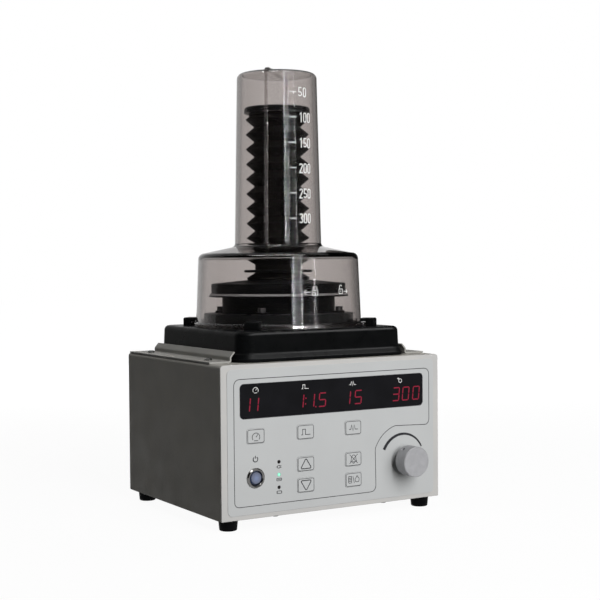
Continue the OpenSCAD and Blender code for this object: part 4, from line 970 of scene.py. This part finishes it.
def lit_digits():
    """Four groups of lit segments, set from one bar shape, and the signs over them."""
    wide, tall, foot, lean, thick = 6.9, 11.9, 93.75, tan(radians(6)), 0.08
    outline = [(-0.5, 0), (-0.43, -0.5), (0.43, -0.5), (0.5, 0), (0.43, 0.5), (-0.43, 0.5)]
    bar = plate("bar", outline, [], 1.0)
    places = []
    for digit, left in SHOWN:
        for part in DIGITS[digit]:
            across, rise, upright = SEGMENTS[part]
            height = rise * tall
            length = (tall / 2 if upright else wide) - 0.35
            turn = (0, 0, degrees(atan2(1, lean)) if upright else 0)
            x = left + across * wide + height * lean
            places.append(at(x, foot + height, 0, turn, (length, 1.05, thick)))
    places += [at(x, z, 0, stretch=(1.2, 1.2, thick)) for x, z in DOTS]
    digits = on_front(copies("digits", bar, places, "red_segment"))
    put("digit_segments", digits, "red_segment")
    labels = joined("labels", [sign(*label) for label in LABELS])
    put("window_print", on_front(labels), "white_ink")


KEY_SIGNS = {
    "key_pressure": ("gauge", 1.5, 0.6), "key_ratio": ("breath", 1.5, 0.6), "key_rate": ("pulse", 1.5, 0.6),
    "key_up": ("up", 1.15, 0.85), "key_down": ("down", 1.15, 0.85),
    "key_mute": ("quiet", 1.12, 0.55), "key_mode": ("mode", 0.95, 0.55),
}
KEY_RINGS = ((1.5, -4.5), (1.5, -3.5), (0, -3.5), (0, 0.15), (-0.09, 0.36), (-0.3, 0.52), (-0.62, 0.57))
KEY_DOME = ((0.9, 0.015), (0.7, 0.025), (0.3, 0.03))
KEY_PRINT = 0.565


def keys():
    """Seven raised film keys, each with its drawn sign."""
    w, h, r = KEY_SIZE
    sections = [(rectangle(0, 0, w + 2 * grow, h + 2 * grow, max(0.6, r + grow)), z) for grow, z in KEY_RINGS]
    for name, (x, z) in KEY_PLACES.items():
        put(name + "_film", on_front(stacked(name, sections, KEY_DOME), x, z), "key_film", name, [name])
        shape, scale, width = KEY_SIGNS[name]
        edge = line("edge", rectangle(0, 0, w - 1.5, h - 1.5, r - 0.5), 0.48, True)
        marks = placed(joined(name, [edge, sign(shape, 0, 0, scale, width)]), z=KEY_PRINT)
        put(name + "_print", on_front(marks, x, z), "dark_ink", name)


def power_button():
    """A bright bezel and a lit cap."""
    ring = rounded([(6.1, -3, 0), (6.1, 0.9, 0.15), (6.75, 1.85, 0.25), (7.7, 2.0, 0.3), (8.8, 0.9, 0.9),
                    (8.8, 0, 0.1), (8.0, 0, 0), (8.0, -16, 0.2), (6.8, -16, 0.2), (6.8, -3, 0)], steps=8)
    put("button_bezel", on_front(lathe("bezel", ring), *POWER_PLACE), "bright_ring", replaces=["power_bezel"])
    side = bent([(6.5, -5, 0.2), (6.5, -3.05, 0.1), (5.1, -3.05, 0), (5.1, 1.3, 0.45), (4.0, 1.58, 2.0),
                 (0, 1.7, 0)])
    cap = lathe("cap", [(0, -5)] + side)
    put("button_cap", on_front(cap, *POWER_PLACE), "lit_cap", "power_cap", ["power_cap"])


def indicator_lamps():
    """Three domed lenses; the middle one is lit."""
    side = bent([(2.0, -9.2, 0.1), (2.0, -8.2, 0.1), (1.5, -8.2, 0), (1.5, -0.1, 0.2), (1.1, 0.24, 0.8),
                 (0, 0.3, 0)])
    for name, z in LAMP_HEIGHTS.items():
        lens = on_front(lathe("lens", [(0, -9.2)] + side, 40), LAMP_X, z)
        put(name + "_lens", lens, "green_lamp" if name == "lamp_middle" else "dark_lamp", replaces=[name])


def volume_knob():
    """A turned knob with a set-screw hole in its side."""
    r, bore, back, front = KNOB_R, 3.1, KNOB_GAP, KNOB_GAP + KNOB_LENGTH
    side = bent([(bore, back, 0.2), (r - 0.4, back, 0.5), (r, back + 1.0, 0.6), (r, front - 0.7, 0.5),
                 (r - 0.7, front, 0.3), (12.6, front, 0.1), (12.4, front - 0.12, 0.1),
                 (0, front - 0.12, 0)], 5)
    knob = lathe("knob", side + [(0, front - 3), (bore, front - 3)], 160)
    drill = lathe("drill", [(0, 6), (1.6, 6), (1.6, 13.3), (2.1, 14.5), (0, 14.5)], 32)
    across = Matrix.Rotation(radians(125), 4, "Z") @ Matrix.Rotation(pi / 2, 4, "Y")
    knob = carved("knob", knob, [placed(drill, z=back + 4.5, turn=across)])
    put("knob_turned", on_front(knob, *KNOB_PLACE), "knob_aluminium", "knob", ["knob"])


# Bellows side

# Foot of the base: how far it stands out, and the height
FOOT_RINGS = ((3.0, 0.0), (3.3, 0.4), (3.3, 2.5), (3.1, 2.9), (2.8, 3.05), (2.45, 3.15), (2.25, 3.4),
              (1.0, 6.7), (0.75, 7.1), (0.45, 7.35), (0.2, 7.5), (-0.1, 7.9), (-0.4, 9.5))


def base():
    """The moulded base: stepped foot with tongues, drafted block, boss, locking lugs and port pads."""
    rings = list(FOOT_RINGS)
    for angle in range(0, 91, 10):
        across, rise = polar(BASE_EDGE, angle)
        rings.append((-BASE_DRAFT - BASE_EDGE + across, BASE_H - BASE_EDGE + rise))
    block = stacked("block", [(rectangle(0, 0, BASE_W + 2 * grow, BASE_D + 2 * grow, BASE_R + grow, 16), z)
                              for grow, z in rings])
    boss = lathe("boss", [(0, 20)] + bent([(BOSS_R, 20, 0), (BOSS_R, BOSS_TOP, 1.0), (0, BOSS_TOP, 0)]), 160)
    tongue = plate("tongue", rectangle(0, 0, TONGUE_W, BASE_D - 2 * BASE_R, 0.6), [], TONGUE_H, 0.3)
    extras = [boss, tongue]
    over, root = HOUSING_RIM_HIGH + 0.5, BASE_H - 1.0
    shape = rounded([(LUG_IN_R, over, 0.4), (LUG_HEEL_R, over, 0.3), (LUG_HEEL_R, root, 0),
                     (LUG_OUT_R, root, 0), (LUG_OUT_R, LUG_TOP, 1.6), (LUG_IN_R, LUG_TOP, 0.8)], steps=5)
    for angle in LOCK_ANGLES:
        lug = placed(plate("lug", shape, [], LUG_W, 0.5), y=LUG_W / 2, turn=FACING)
        extras.append(turned(lug, angle))
    for x in (-PORT_X, PORT_X):
        pad = plate("pad", rectangle(x, 12.0, 26.8, 23.0, 1.5), [], 8.0, 0.6)
        extras.append(placed(pad, y=BASE_D / 2 - 3.9, turn=BACKING))
    moulding = on_top(carved("base", block, extras, "UNION"))
    put("base_moulding", moulding, "black_moulding", replaces=["bellows_base"], sharp=32)


def chamber():
    """Valve chamber with screwed ears and a grey rim ring painted on as a highlight, bellows plate and
    holding ring.
    """
    lip, top, out, bore = CHAMBER_LIP, CHAMBER_TOP, CHAMBER_LIP_R, 14
    bevel = lip + 1.3
    wall = rounded([(bore, lip, 0), (50, lip, 0), (50, BOSS_TOP, 0), (CHAMBER_R, BOSS_TOP, 0),
                    (CHAMBER_R, lip, 1.2), (out, lip, 0.8), (out, bevel, 0.4), (out - 2.2, top, 0.4),
                    (bore, top, 0)])
    ear = rounded([(52.4, -5, 0), (64.4, -5, 4), (64.4, 5, 4), (52.4, 5, 0)])
    ears = [turned(placed(plate("ear", ear, [], EAR_T, 0.3), z=BOSS_TOP), angle) for angle in LOCK_ANGLES]
    body = carved("chamber", lathe("chamber", wall, 144), ears, "UNION")
    # A thin grey ring on the bevel under the plate: a painted highlight along the chamber's rim.
    low, high, reach = bevel + 0.15, top - 0.15, out - 0.1
    rim = [(reach - 0.5, low), (reach + 0.05, low), (reach - 1.95, high), (reach - 2.5, high)]
    seat = rounded([(bore, top + 0.05, 0), (PLATE_R, top + 0.05, 0.6), (PLATE_R, PLATE_TOP, 1.2),
                    (SEAT_R + 1, SEAT_H - 0.1, 2.5), (SEAT_R, SEAT_H, 0.3), (20.8, SEAT_H, 0.3),
                    (20.8, RING_HIGH, 0.6), (bore, RING_HIGH, 0.4)])
    ring = rounded([(22.6, RING_LOW, 0.2), (RING_R, RING_LOW, 0.9), (RING_R, RING_HIGH, 0.9),
                    (22.6, RING_HIGH, 0.2)])
    # The pieces inside the housing take the darker copy of the black moulding, a painted shade.
    for name, mesh, finish, stands_for, sharp in (
            ("chamber_body", body, "inner_moulding", "valve_chamber", 32),
            ("chamber_rim", lathe("rim", rim, 144), "worn_edge", "valve_chamber", 32),
            ("plate_turned", lathe("plate", seat, 144), "inner_moulding", "bellows_plate", 32),
            ("ring_moulded", lathe("ring", ring, 128), "inner_moulding", "bellows_ring", 38)):
        put(name, on_top(mesh), finish, replaces=[stands_for], sharp=sharp)


def bellows():
    """The folded rubber sleeve, which stretches between the seat and its top disc."""
    sides = 112
    sleeve = grown("sleeve", bpy.data.meshes.new("seed"), folds_tree(), {
        "Folds": FOLD_COUNT, "Fold radius": FOLD_R, "Valley radius": VALLEY_R, "First fold": FIRST_FOLD,
        "Sag pitch": SAG_PITCH, "Sag folds": float(SAG_FOLDS), "Pitch": FOLD_PITCH, "Crispness": 0.995,
        "Rings per fold": 20, "Sides": sides, "Finish": FINISHES["bellows_rubber"]})
    last = FIRST_FOLD + SAG_FOLDS * SAG_PITCH + (FOLD_COUNT - 1 - SAG_FOLDS) * FOLD_PITCH
    start, end = FIRST_FOLD - SAG_PITCH / 2, last + FOLD_PITCH / 2
    for vert in sleeve.vertices:
        if vert.co.z > last:
            share = (vert.co.z - last) / (end - last)
            reach = hypot(vert.co.x, vert.co.y)
            wide = max(reach, NECK_R + (FOLD_R - NECK_R) * max(0.0, 1 - 2.2 * share))
            vert.co.x *= wide / reach
            vert.co.y *= wide / reach
            vert.co.z = last + (DISC_LOW - last) * share
    foot = SEAT_H + 0.05
    cuff = bent([(FOLD_R - 2.4, foot, 0.2), (FOLD_R - 0.6, foot, 0.4), (FOLD_R, SEAT_H + 2.5, 1.2),
                 (VALLEY_R, RING_LOW - 0.4, 1.0), (VALLEY_R, start, 0)], 5)
    skin = joined("bellows", [sleeve, lathe("cuff", cuff, sides, closed=False)])
    with editing(skin) as work:
        bmesh.ops.remove_doubles(work, verts=work.verts, dist=0.02)
        bmesh.ops.recalc_face_normals(work, faces=work.faces)
        bmesh.ops.solidify(work, geom=work.faces[:], thickness=SKIN_T)
    piece = put("bellows_sleeve", on_top(skin), "bellows_rubber", None, ["bellows"], sharp=55)
    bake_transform(piece)
    side = bent([(DISC_R, DISC_LOW, 0.7), (DISC_R, DISC_HIGH, 4.6), (8, DISC_HIGH, 0.5),
                 (7.4, DISC_HIGH - 0.8, 0.4), (0, DISC_HIGH - 0.8, 0)])
    disc = lathe("disc", [(0, DISC_LOW), (0.5, DISC_LOW)] + side, 128)
    put("bellows_cap", on_top(disc), "black_moulding", "bellows_top", ["bellows_top"])


def between(height, low, low_r, high, high_r):
    """A cone's radius at a height."""
    return low_r + (high_r - low_r) * (height - low) / (high - low)


def tube_radius(height):
    """The tube's outer radius at a height above the cabinet's top."""
    return between(height, TUBE_FOOT, TUBE_FOOT_R, TUBE_TOP, TUBE_TOP_R)


def drum_radius(height):
    """The drum's outer radius at a height above the cabinet's top."""
    return between(height, HOUSING_RIM_HIGH, DRUM_LOW_R, DRUM_TOP, DRUM_TOP_R)


def housing_profile():
    """The smoked housing's wall: drum, shoulder and tall tube, outside then inside."""
    w, ceiling = HOUSING_WALL, TUBE_TOP - CROWN_WALL
    outer = bent([(DRUM_LOW_R, HOUSING_RIM_LOW, 0), (DRUM_LOW_R, HOUSING_RIM_HIGH, 0),
                  (DRUM_TOP_R, DRUM_TOP, 6.0), (TUBE_FOOT_R, TUBE_FOOT, 4.0),
                  (TUBE_TOP_R, TUBE_TOP, CROWN_R), (0, TUBE_TOP, 0)], 10)
    inner = bent([(0, ceiling, 0), (TUBE_TOP_R - w, ceiling, 2.0), (TUBE_FOOT_R - w, TUBE_FOOT - w, 7.0),
                  (DRUM_TOP_R - w, DRUM_TOP - w, 2.5), (DRUM_LOW_R - w, HOUSING_RIM_LOW, 0)], 10)
    return outer + inner


def housing_ridge():
    """The moulded ridge that runs up one side of the tube, over its top and down the other."""
    foot, high = tube_radius(RIDGE_FOOT), TUBE_TOP + RIDGE_TOP
    half = bent([(foot + RIDGE_OUT, RIDGE_FOOT, 0), (TUBE_TOP_R + RIDGE_OUT, high, CROWN_R + 1),
                 (0, high, 0)], 10)
    under = bent([(0, TUBE_TOP + 0.05, 0), (TUBE_TOP_R + 0.05, TUBE_TOP + 0.05, CROWN_R),
                  (foot + 0.05, RIDGE_FOOT, 0)], 10)
    outside = half + [(-r, z) for r, z in half[-2::-1]]
    inside = [(-r, z) for r, z in under[:0:-1]] + under
    ridge = plate("ridge", outside + inside, [], RIDGE_W, 0.4)
    return turned(placed(ridge, y=RIDGE_W / 2, turn=FACING), 45)


def housing():
    """The clear housing with its foot flange, locking tabs and ridge."""
    wall, low, high = DRUM_LOW_R + 0.04, HOUSING_RIM_LOW, HOUSING_RIM_HIGH
    flange = rounded([(wall, low, 0), (HOUSING_RIM_R, low, 0.4), (HOUSING_RIM_R, high, 0.9),
                      (wall + 0.6, high, 0.5), (wall, high + 0.8, 0)])
    edges = [lathe("flange", flange, 192)]
    tab = [polar(HOUSING_RIM_R + 0.03, angle) + (0,) for angle in (-TAB_TURN, 0, TAB_TURN)]
    for angle, r in ((TAB_TURN, 1.0), (3, 0), (0, 0), (-3, 0), (-TAB_TURN, 1.0)):
        tab.append(polar(TAB_R, angle) + (r,))
    for angle in LOCK_ANGLES:
        edges.append(turned(placed(plate("tab", rounded(tab, steps=5), [], 3.4, 0.3), z=low + 0.05), angle))
    edges.append(housing_ridge())
    shell = on_top(lathe("housing", housing_profile(), 192))
    clear = put("housing_clear", shell, "smoked_clear", "housing", ["housing"], sharp=32, weighted=False)
    rest = on_top(joined("edges", edges))
    rest = put("housing_edges", rest, "smoked_edge", "housing", sharp=32)
    clear.visible_shadow = rest.visible_shadow = False


def wrapped(mesh, middle, radius, lean=0.0):
    """Bends a flat print round the housing, X round it and Y up; lean is in degrees a millimetre."""
    with editing(mesh) as work:
        across = [v.co.x for v in work.verts]
        x = min(across) + 1.0
        while x < max(across):
            everything = work.verts[:] + work.edges[:] + work.faces[:]
            bmesh.ops.bisect_plane(work, geom=everything, plane_co=(x, 0, 0), plane_no=(1, 0, 0))
            x += 1.0
        for vert in work.verts:
            out, height = radius(vert.co.y), vert.co.y
            angle = middle + lean * (height - SCALE_MIDDLE) + degrees(vert.co.x / out)
            vert.co = (*polar(out + vert.co.z, angle), height)
    return mesh


NUMERALS = {
    "0": [loop(rectangle(0, 0, 3.0, 8.4, 1.5, 6))],
    "1": [stroke((-1.2, 2.7), (0.5, 4.2), (0.5, -4.6))],
    "2": [stroke(*arc(0, 2.4, 1.6, 170, -20, 12), (-1.6, -4.2), (1.9, -4.2))],
    "3": [stroke(*arc(-0.1, 2.3, 1.75, 150, -80, 12), *arc(-0.1, -2.1, 1.95, 80, -150, 14))],
    "5": [stroke((1.6, 4.2), (-1.2, 4.2), (-1.4, 0.2), *arc(-0.1, -1.7, 1.85, 118, -150, 16))],
}
SCALE = {"50": 247.6, "100": 223.9, "150": 200.0, "200": 176.2, "250": 152.5, "300": 129.2}


def lock_sign(name, middle, lift, scale, tail, tip, barb, open_by):
    """A padlock with an arrow beside it, bent round the drum."""
    z = LOCK_SIGN_Z
    head = [(tip - barb, z - 1 + open_by), (tip, z - 1), (tip - barb, z - 1 - open_by)]
    shaft = [(tail, z - 1), (tip - (0.4 if tip > 0 else -0.4), z - 1)]
    parts = [sign(name, 0, z + lift, scale, 0.6, SIGN_INK)]
    parts += [line("arrow", path, 0.6, False, SIGN_INK) for path in (shaft, head)]
    return wrapped(joined(name, parts), middle, drum_radius)


def housing_print():
    """The white volume scale on the tube and the locking signs on the drum."""
    ticks = grown("ticks", bpy.data.meshes.new("seed"), marks_tree(), {
        "Count": len(SCALE), "Pitch": -23.68, "Length": 7.2, "Width": 0.8, "Thickness": SCALE_INK, "Cuts": 9,
        "Finish": FINISHES["white_ink"]})
    marks = [placed(ticks, -5.0, SCALE["50"], 0.05)]
    for digits, height in SCALE.items():
        left, pitch = (0.2, 5.4) if len(digits) == 2 else (1.2, 4.9)
        for place, digit in enumerate(digits):
            x = left + pitch * (place + 0.5)
            marks.append(drawn(digit, NUMERALS[digit], x, height, 1.0, 1.0, SCALE_INK))
    prints = [wrapped(joined("scale", marks), -91.0, tube_radius, 0.022),
              lock_sign("shut", -94.9, 0.0, 1.0, -4.6, -11.0, -2.4, 2.0),
              lock_sign("free", -72.6, 0.6, 0.9, 4.2, 10.0, 2.0, 1.7)]
    put("scale_print", on_top(joined("scale", prints)), "white_ink", "housing")


# Rear

def rear_fittings():
    """Breathing ports with collars, and the threaded gas inlet with its nut."""
    for name, x, r in (("circuit_port", -PORT_X, 11.0), ("scavenge_port", PORT_X, 9.5)):
        side = rounded([(r - 2.5, -6, 0), (r - 0.5, -6, 0.3), (r - 0.5, 0.05, 0), (12.4, 0.05, 0.4),
                        (12.4, 3.0, 0.6), (r, 3.0, 0.6), (r, 28.4, 0.9), (r - 2.5, 28.4, 0.5)], steps=5)
        pipe = placed(lathe(name, side), x, BASE_D / 2 + 4.1, PORT_Z, BACKING)
        put(name + "_pipe", on_top(pipe), "black_moulding", replaces=[name])
    lo, hi = (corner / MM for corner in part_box("gas_inlet"))
    r, bore, pitch, inner, length = 7.1, 3.0, 0.55, lo.y - REAR_FACE, hi.y - REAR_FACE
    thread = [(r - 0.25 * (k % 2), 8.5 + pitch * k) for k in range(int((length - 10.0) / pitch))]
    end = bent([(r, thread[-1][1] + 0.4, 0), (r, length, 0.9), (bore, length, 0.5)], 4)
    stub = lathe("stub", [(bore, inner), (r, inner), (r, 8.0)] + thread + end + [(bore, length)], 72)
    hexagon = rounded([polar(11.1, 60 * k) + (0.6,) for k in range(6)], steps=4)
    nut = plate("nut", hexagon, [circle(0, 0, 6.9)], 6.0, 0.5)
    inlet = placed(joined("gas", [stub, nut]), (lo.x + hi.x) / 2, REAR_FACE, (lo.z + hi.z) / 2, BACKING)
    put("gas_inlet_turned", inlet, "valve_brass", replaces=["gas_inlet"])


def power_socket():
    """The mains inlet: softened flange, deep shell, three blades and two screws."""
    ear, depth = 20, 17.0
    holes = [rectangle(0, 0, 24, 16.5, 0.8, 4)] + [circle(x, 0, 1.7, 24) for x in (-ear, ear)]
    flange = plate("flange", rectangle(0, 0, 48, 24, 3), holes, 3.0, 0.5)
    outline = rectangle(0, 0, 26.8, 19.3, 1.2)
    shell = plate("shell", outline, [rectangle(0, 0, 24, 16.5, 0.8)], depth, 0.1)
    bottom = plate("bottom", outline, [], 1.5, 0.1)
    parts = [flange, placed(shell, z=0.05 - depth), placed(bottom, z=-depth - 1.5)]
    blade = plate("blade", rectangle(0, 0, 2, 4, 0.3), [], 10.0, 0.3)
    spots = [at(x, z, -depth) for x, z in ((-7, -2), (0, 2), (7, -2))]
    blades = copies("blades", blade, spots, "bright_ring")
    held = [at(x, 0, 3.0, (0, 0, 40 + x), (0.72, 0.72, 0.72)) for x in (-ear, ear)]
    screws = copies("socket_screws", pan_head_screw(), held, "screw_steel")
    for name, mesh, finish, stands_for in (
            ("socket_shell", joined("socket", parts), "inlet_moulding", ["power_inlet"]),
            ("socket_blades", blades, "bright_ring", ()),
            ("socket_screws", screws, "screw_steel", ())):
        put(name, on_back(mesh, SOCKET_X, SOCKET_Z), finish, replaces=stands_for)


# Solids carried over with a finish of their own

CARRIED = {
    "cabinet_paint": ["top_cover", "bottom_tray"],
    "circuit_board": ["display_board", "key_board", "main_board"],
    "digit_case": ["pressure_digits", "ratio_digits", "rate_digits", "volume_digits"],
    "post_brass": ["panel_standoffs", "board_posts"],
    "screw_steel": ["power_nut", "flow_valve_nut", "flow_valve_stem"],
    "black_steel": ["knob_set_screw"],
    "valve_brass": ["flow_valve_body"],
    "gas_hose": ["flow_tube", "drive_tube"],
    "seal_rubber": ["housing_seal"],
    "pale_moulding": ["popoff_disc"],
    "block_aluminium": ["valve_manifold", "power_unit"],
    "inlet_moulding": ["solenoid_valves", "alarm_sounder"],
    "battery_film": ["battery_pack"],
}


def carried_over():
    """Finishes for the solids that stay as they are."""
    for finish, names in CARRIED.items():
        for name in names:
            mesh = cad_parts[name].data
            mesh.materials.clear()
            mesh.materials.append(FINISHES[finish])


# Stage

WHITE = (1, 1, 1, 1)


def staged(name, corners, finish):
    """A flat four-cornered thing of the stage."""
    mesh = new_mesh(name, corners, [(0, 1, 2, 3)])
    mesh.materials.append(finish.material)
    obj = linked(name, mesh)
    return obj


def seen_rays(tree):
    """One for a ray from the camera, off a gloss or through something clear; and the path's sockets."""
    path = node(tree, "ShaderNodeLightPath").outputs
    seen = sums(tree, "MAXIMUM", path["Is Glossy Ray"], path["Is Transmission Ray"])
    return sums(tree, "MAXIMUM", path["Is Camera Ray"], seen), path


def floor():
    """A plain pale floor that keeps the shadow."""
    finish = Finish("studio_floor", (0.06, 0.06, 0.06), 0.9, specular=0.0, Emission_Color=WHITE)
    tree = finish.tree
    spot = node(tree, "ShaderNodeTexCoord").outputs["Object"]
    away = node(tree, "ShaderNodeVectorMath", {0: spot}, operation="LENGTH").outputs["Value"]
    far = node(tree, "ShaderNodeMapRange", {
        "Value": away, "From Min": 0.3, "From Max": 1.6, "To Min": 0.95, "To Max": 1.0},
        interpolation_type="SMOOTHSTEP").outputs["Result"]
    finish.give({"Emission Strength": sums(tree, "MULTIPLY", seen_rays(tree)[0], far)})
    half, low = 6, -0.0002
    corners = [(x * half, y * half, low) for x, y in ((-1, -1), (1, -1), (1, 1), (-1, 1))]
    staged("studio_floor", corners, finish)


def soft_box(name, azimuth, distance, middle, width, height, brightness, kind="gloss"):
    """A soft box facing the object; kind says what it serves, light or gloss."""
    data = bpy.data.lights.new(name, "AREA")
    data.shape = "RECTANGLE"
    data.size, data.size_y = width, height
    data.energy = brightness * pi * width * height
    lamp = bpy.data.objects.new(name, data)
    spot = Vector((*polar(distance, azimuth), middle))
    way = Vector((0, 0, 0.2)) - spot
    lamp.matrix_world = Matrix.Translation(spot) @ way.to_track_quat("-Z", "Y").to_matrix().to_4x4()
    bpy.context.scene.collection.objects.link(lamp)
    lamp.visible_camera = False
    lamp.visible_transmission = False
    lamp.visible_glossy = kind == "gloss"
    lamp.visible_diffuse = kind == "light"
    return lamp


def card(name, azimuth, distance, width, foot, head, shade):
    """A standing card that shows only in reflections, as beside a photographer's table."""
    out, along = Vector(polar(distance, azimuth)), Vector(polar(width / 2, azimuth + 90))
    low, high = out - along, out + along
    finish = Finish(name, (0, 0, 0), specular=0.0, Emission_Color=WHITE, Emission_Strength=shade)
    obj = staged(name, [(*low, foot), (*high, foot), (*high, head), (*low, head)], finish)
    obj.visible_camera = obj.visible_diffuse = obj.visible_transmission = obj.visible_shadow = False


# Boxes that light: azimuth, distance and middle height, width and height, brightness
BOXES = {
    "box_left": (-93, 1.7, 0.75, 0.42, 1.5, 12.6),
    "box_right": (-71, 1.7, 0.75, 0.68, 1.5, 3.3),
    "box_top": (-175, 0.6, 1.5, 0.8, 0.8, 1.0),
    "box_back": (62, 1.7, 0.32, 0.9, 0.6, 6.0),
}
# Cards in reflections: azimuth, distance, width, foot and head, brightness
CARDS = {
    "card_left": (104, 1.6, 2.6, 0.0, 0.12, 0.02),
    "card_left_high": (104, 1.6, 2.6, 0.12, 2.2, 0.75),
    "card_far_left": (177, 2.0, 2.5, 0.0, 2.4, 0.04),
    "card_right": (14, 1.6, 2.6, 0.0, 2.2, 0.02),
    "card_front_right": (-48, 2.4, 2.4, 0.0, 2.4, 0.15),
    "card_front": (-121, 2.4, 3.6, 0.0, 2.4, 0.05),
}
# Boxes that only some pieces mirror: the group's name, its pieces, and its boxes
GLINTS = (
    ("bright_pieces", ("housing_clear", "housing_edges", "screws_cabinet"), {
        "glint_left": (-94.5, 1.7, 0.55, 0.50, 1.2, 10.0),
        "glint_left_edge": (-99.1, 1.7, 0.55, 0.13, 1.2, 85.0),
        "glint_left_line": (-88.9, 1.7, 0.55, 0.08, 1.2, 85.0),
        "glint_right": (-72.0, 1.7, 0.55, 0.50, 1.2, 2.0),
        "glint_right_edge": (-69.5, 1.7, 0.55, 0.10, 1.2, 40.0)}),
    ("clear_pieces", ("housing_clear",), {"glint_over": (-120, 0.5, 1.6, 1.5, 0.5, 30.0)}),
    ("base_pieces", ("base_moulding",), {"glint_top": (-60, 1.0, 1.3, 2.0, 0.8, 18.0)}),
    ("ring_pieces", ("button_bezel",), {"glint_ring": (-134, 0.8, 1.45, 0.5, 0.4, 20.0)}),
)


def lights():
    """Two tall soft boxes in front, one overhead, one behind, cards round them and an even dim room."""
    for name, values in BOXES.items():
        soft_box(name, *values, "light")
    for name, values in CARDS.items():
        card(name, *values)
    for label, pieces, lamps in GLINTS:
        group = bpy.data.collections.new(label)
        for piece in pieces:
            group.objects.link(bpy.data.objects[piece])
        for name, values in lamps.items():
            soft_box(name, *values).light_linking.receiver_collection = group
    world = bpy.data.worlds.new("studio")
    bpy.context.scene.world = world
    world.use_nodes = True
    tree = world.node_tree
    seen, path = seen_rays(tree)
    mirrored = sums(tree, "MINIMUM", path["Glossy Depth"], 1.0)
    inside = sums(tree, "MULTIPLY", path["Is Transmission Ray"], mirrored)
    seen = sums(tree, "MULTIPLY_ADD", inside, -INSIDE_SHADE, seen)
    back = next(n for n in tree.nodes if n.type == "BACKGROUND")
    fill(tree, back.inputs["Color"], WHITE)
    fill(tree, back.inputs["Strength"], sums(tree, "MULTIPLY_ADD", seen, 1.0 - ROOM, ROOM))


def camera():
    """The photograph's viewpoint, fitted to the cabinet's edges."""
    data = bpy.data.cameras.new("camera")
    data.lens, data.sensor_width = LENS, SENSOR
    data.clip_start = 0.01
    yaw, pitch, roll = (radians(angle) for angle in VIEW_TURNS)
    ahead = Vector((sin(yaw) * cos(pitch), cos(yaw) * cos(pitch), -sin(pitch)))
    right = Vector((cos(yaw), -sin(yaw), 0.0))
    upward = right.cross(ahead)
    x = right * cos(roll) + upward * sin(roll)
    y = upward * cos(roll) - right * sin(roll)
    obj = linked("camera", data)
    turn = Matrix((x, y, -ahead)).transposed().to_4x4()
    obj.matrix_world = Matrix.Translation(VIEWPOINT) @ turn
    bpy.context.scene.camera = obj


cabinet_panels()
fasteners_and_feet()
rails()
overlay()
front_print()
window()
lit_digits()
keys()
power_button()
indicator_lamps()
volume_knob()
base()
chamber()
bellows()
housing()
housing_print()
rear_fittings()
power_socket()
carried_over()
floor()
lights()
camera()

bpy.context.scene.view_settings.view_transform = "Standard"
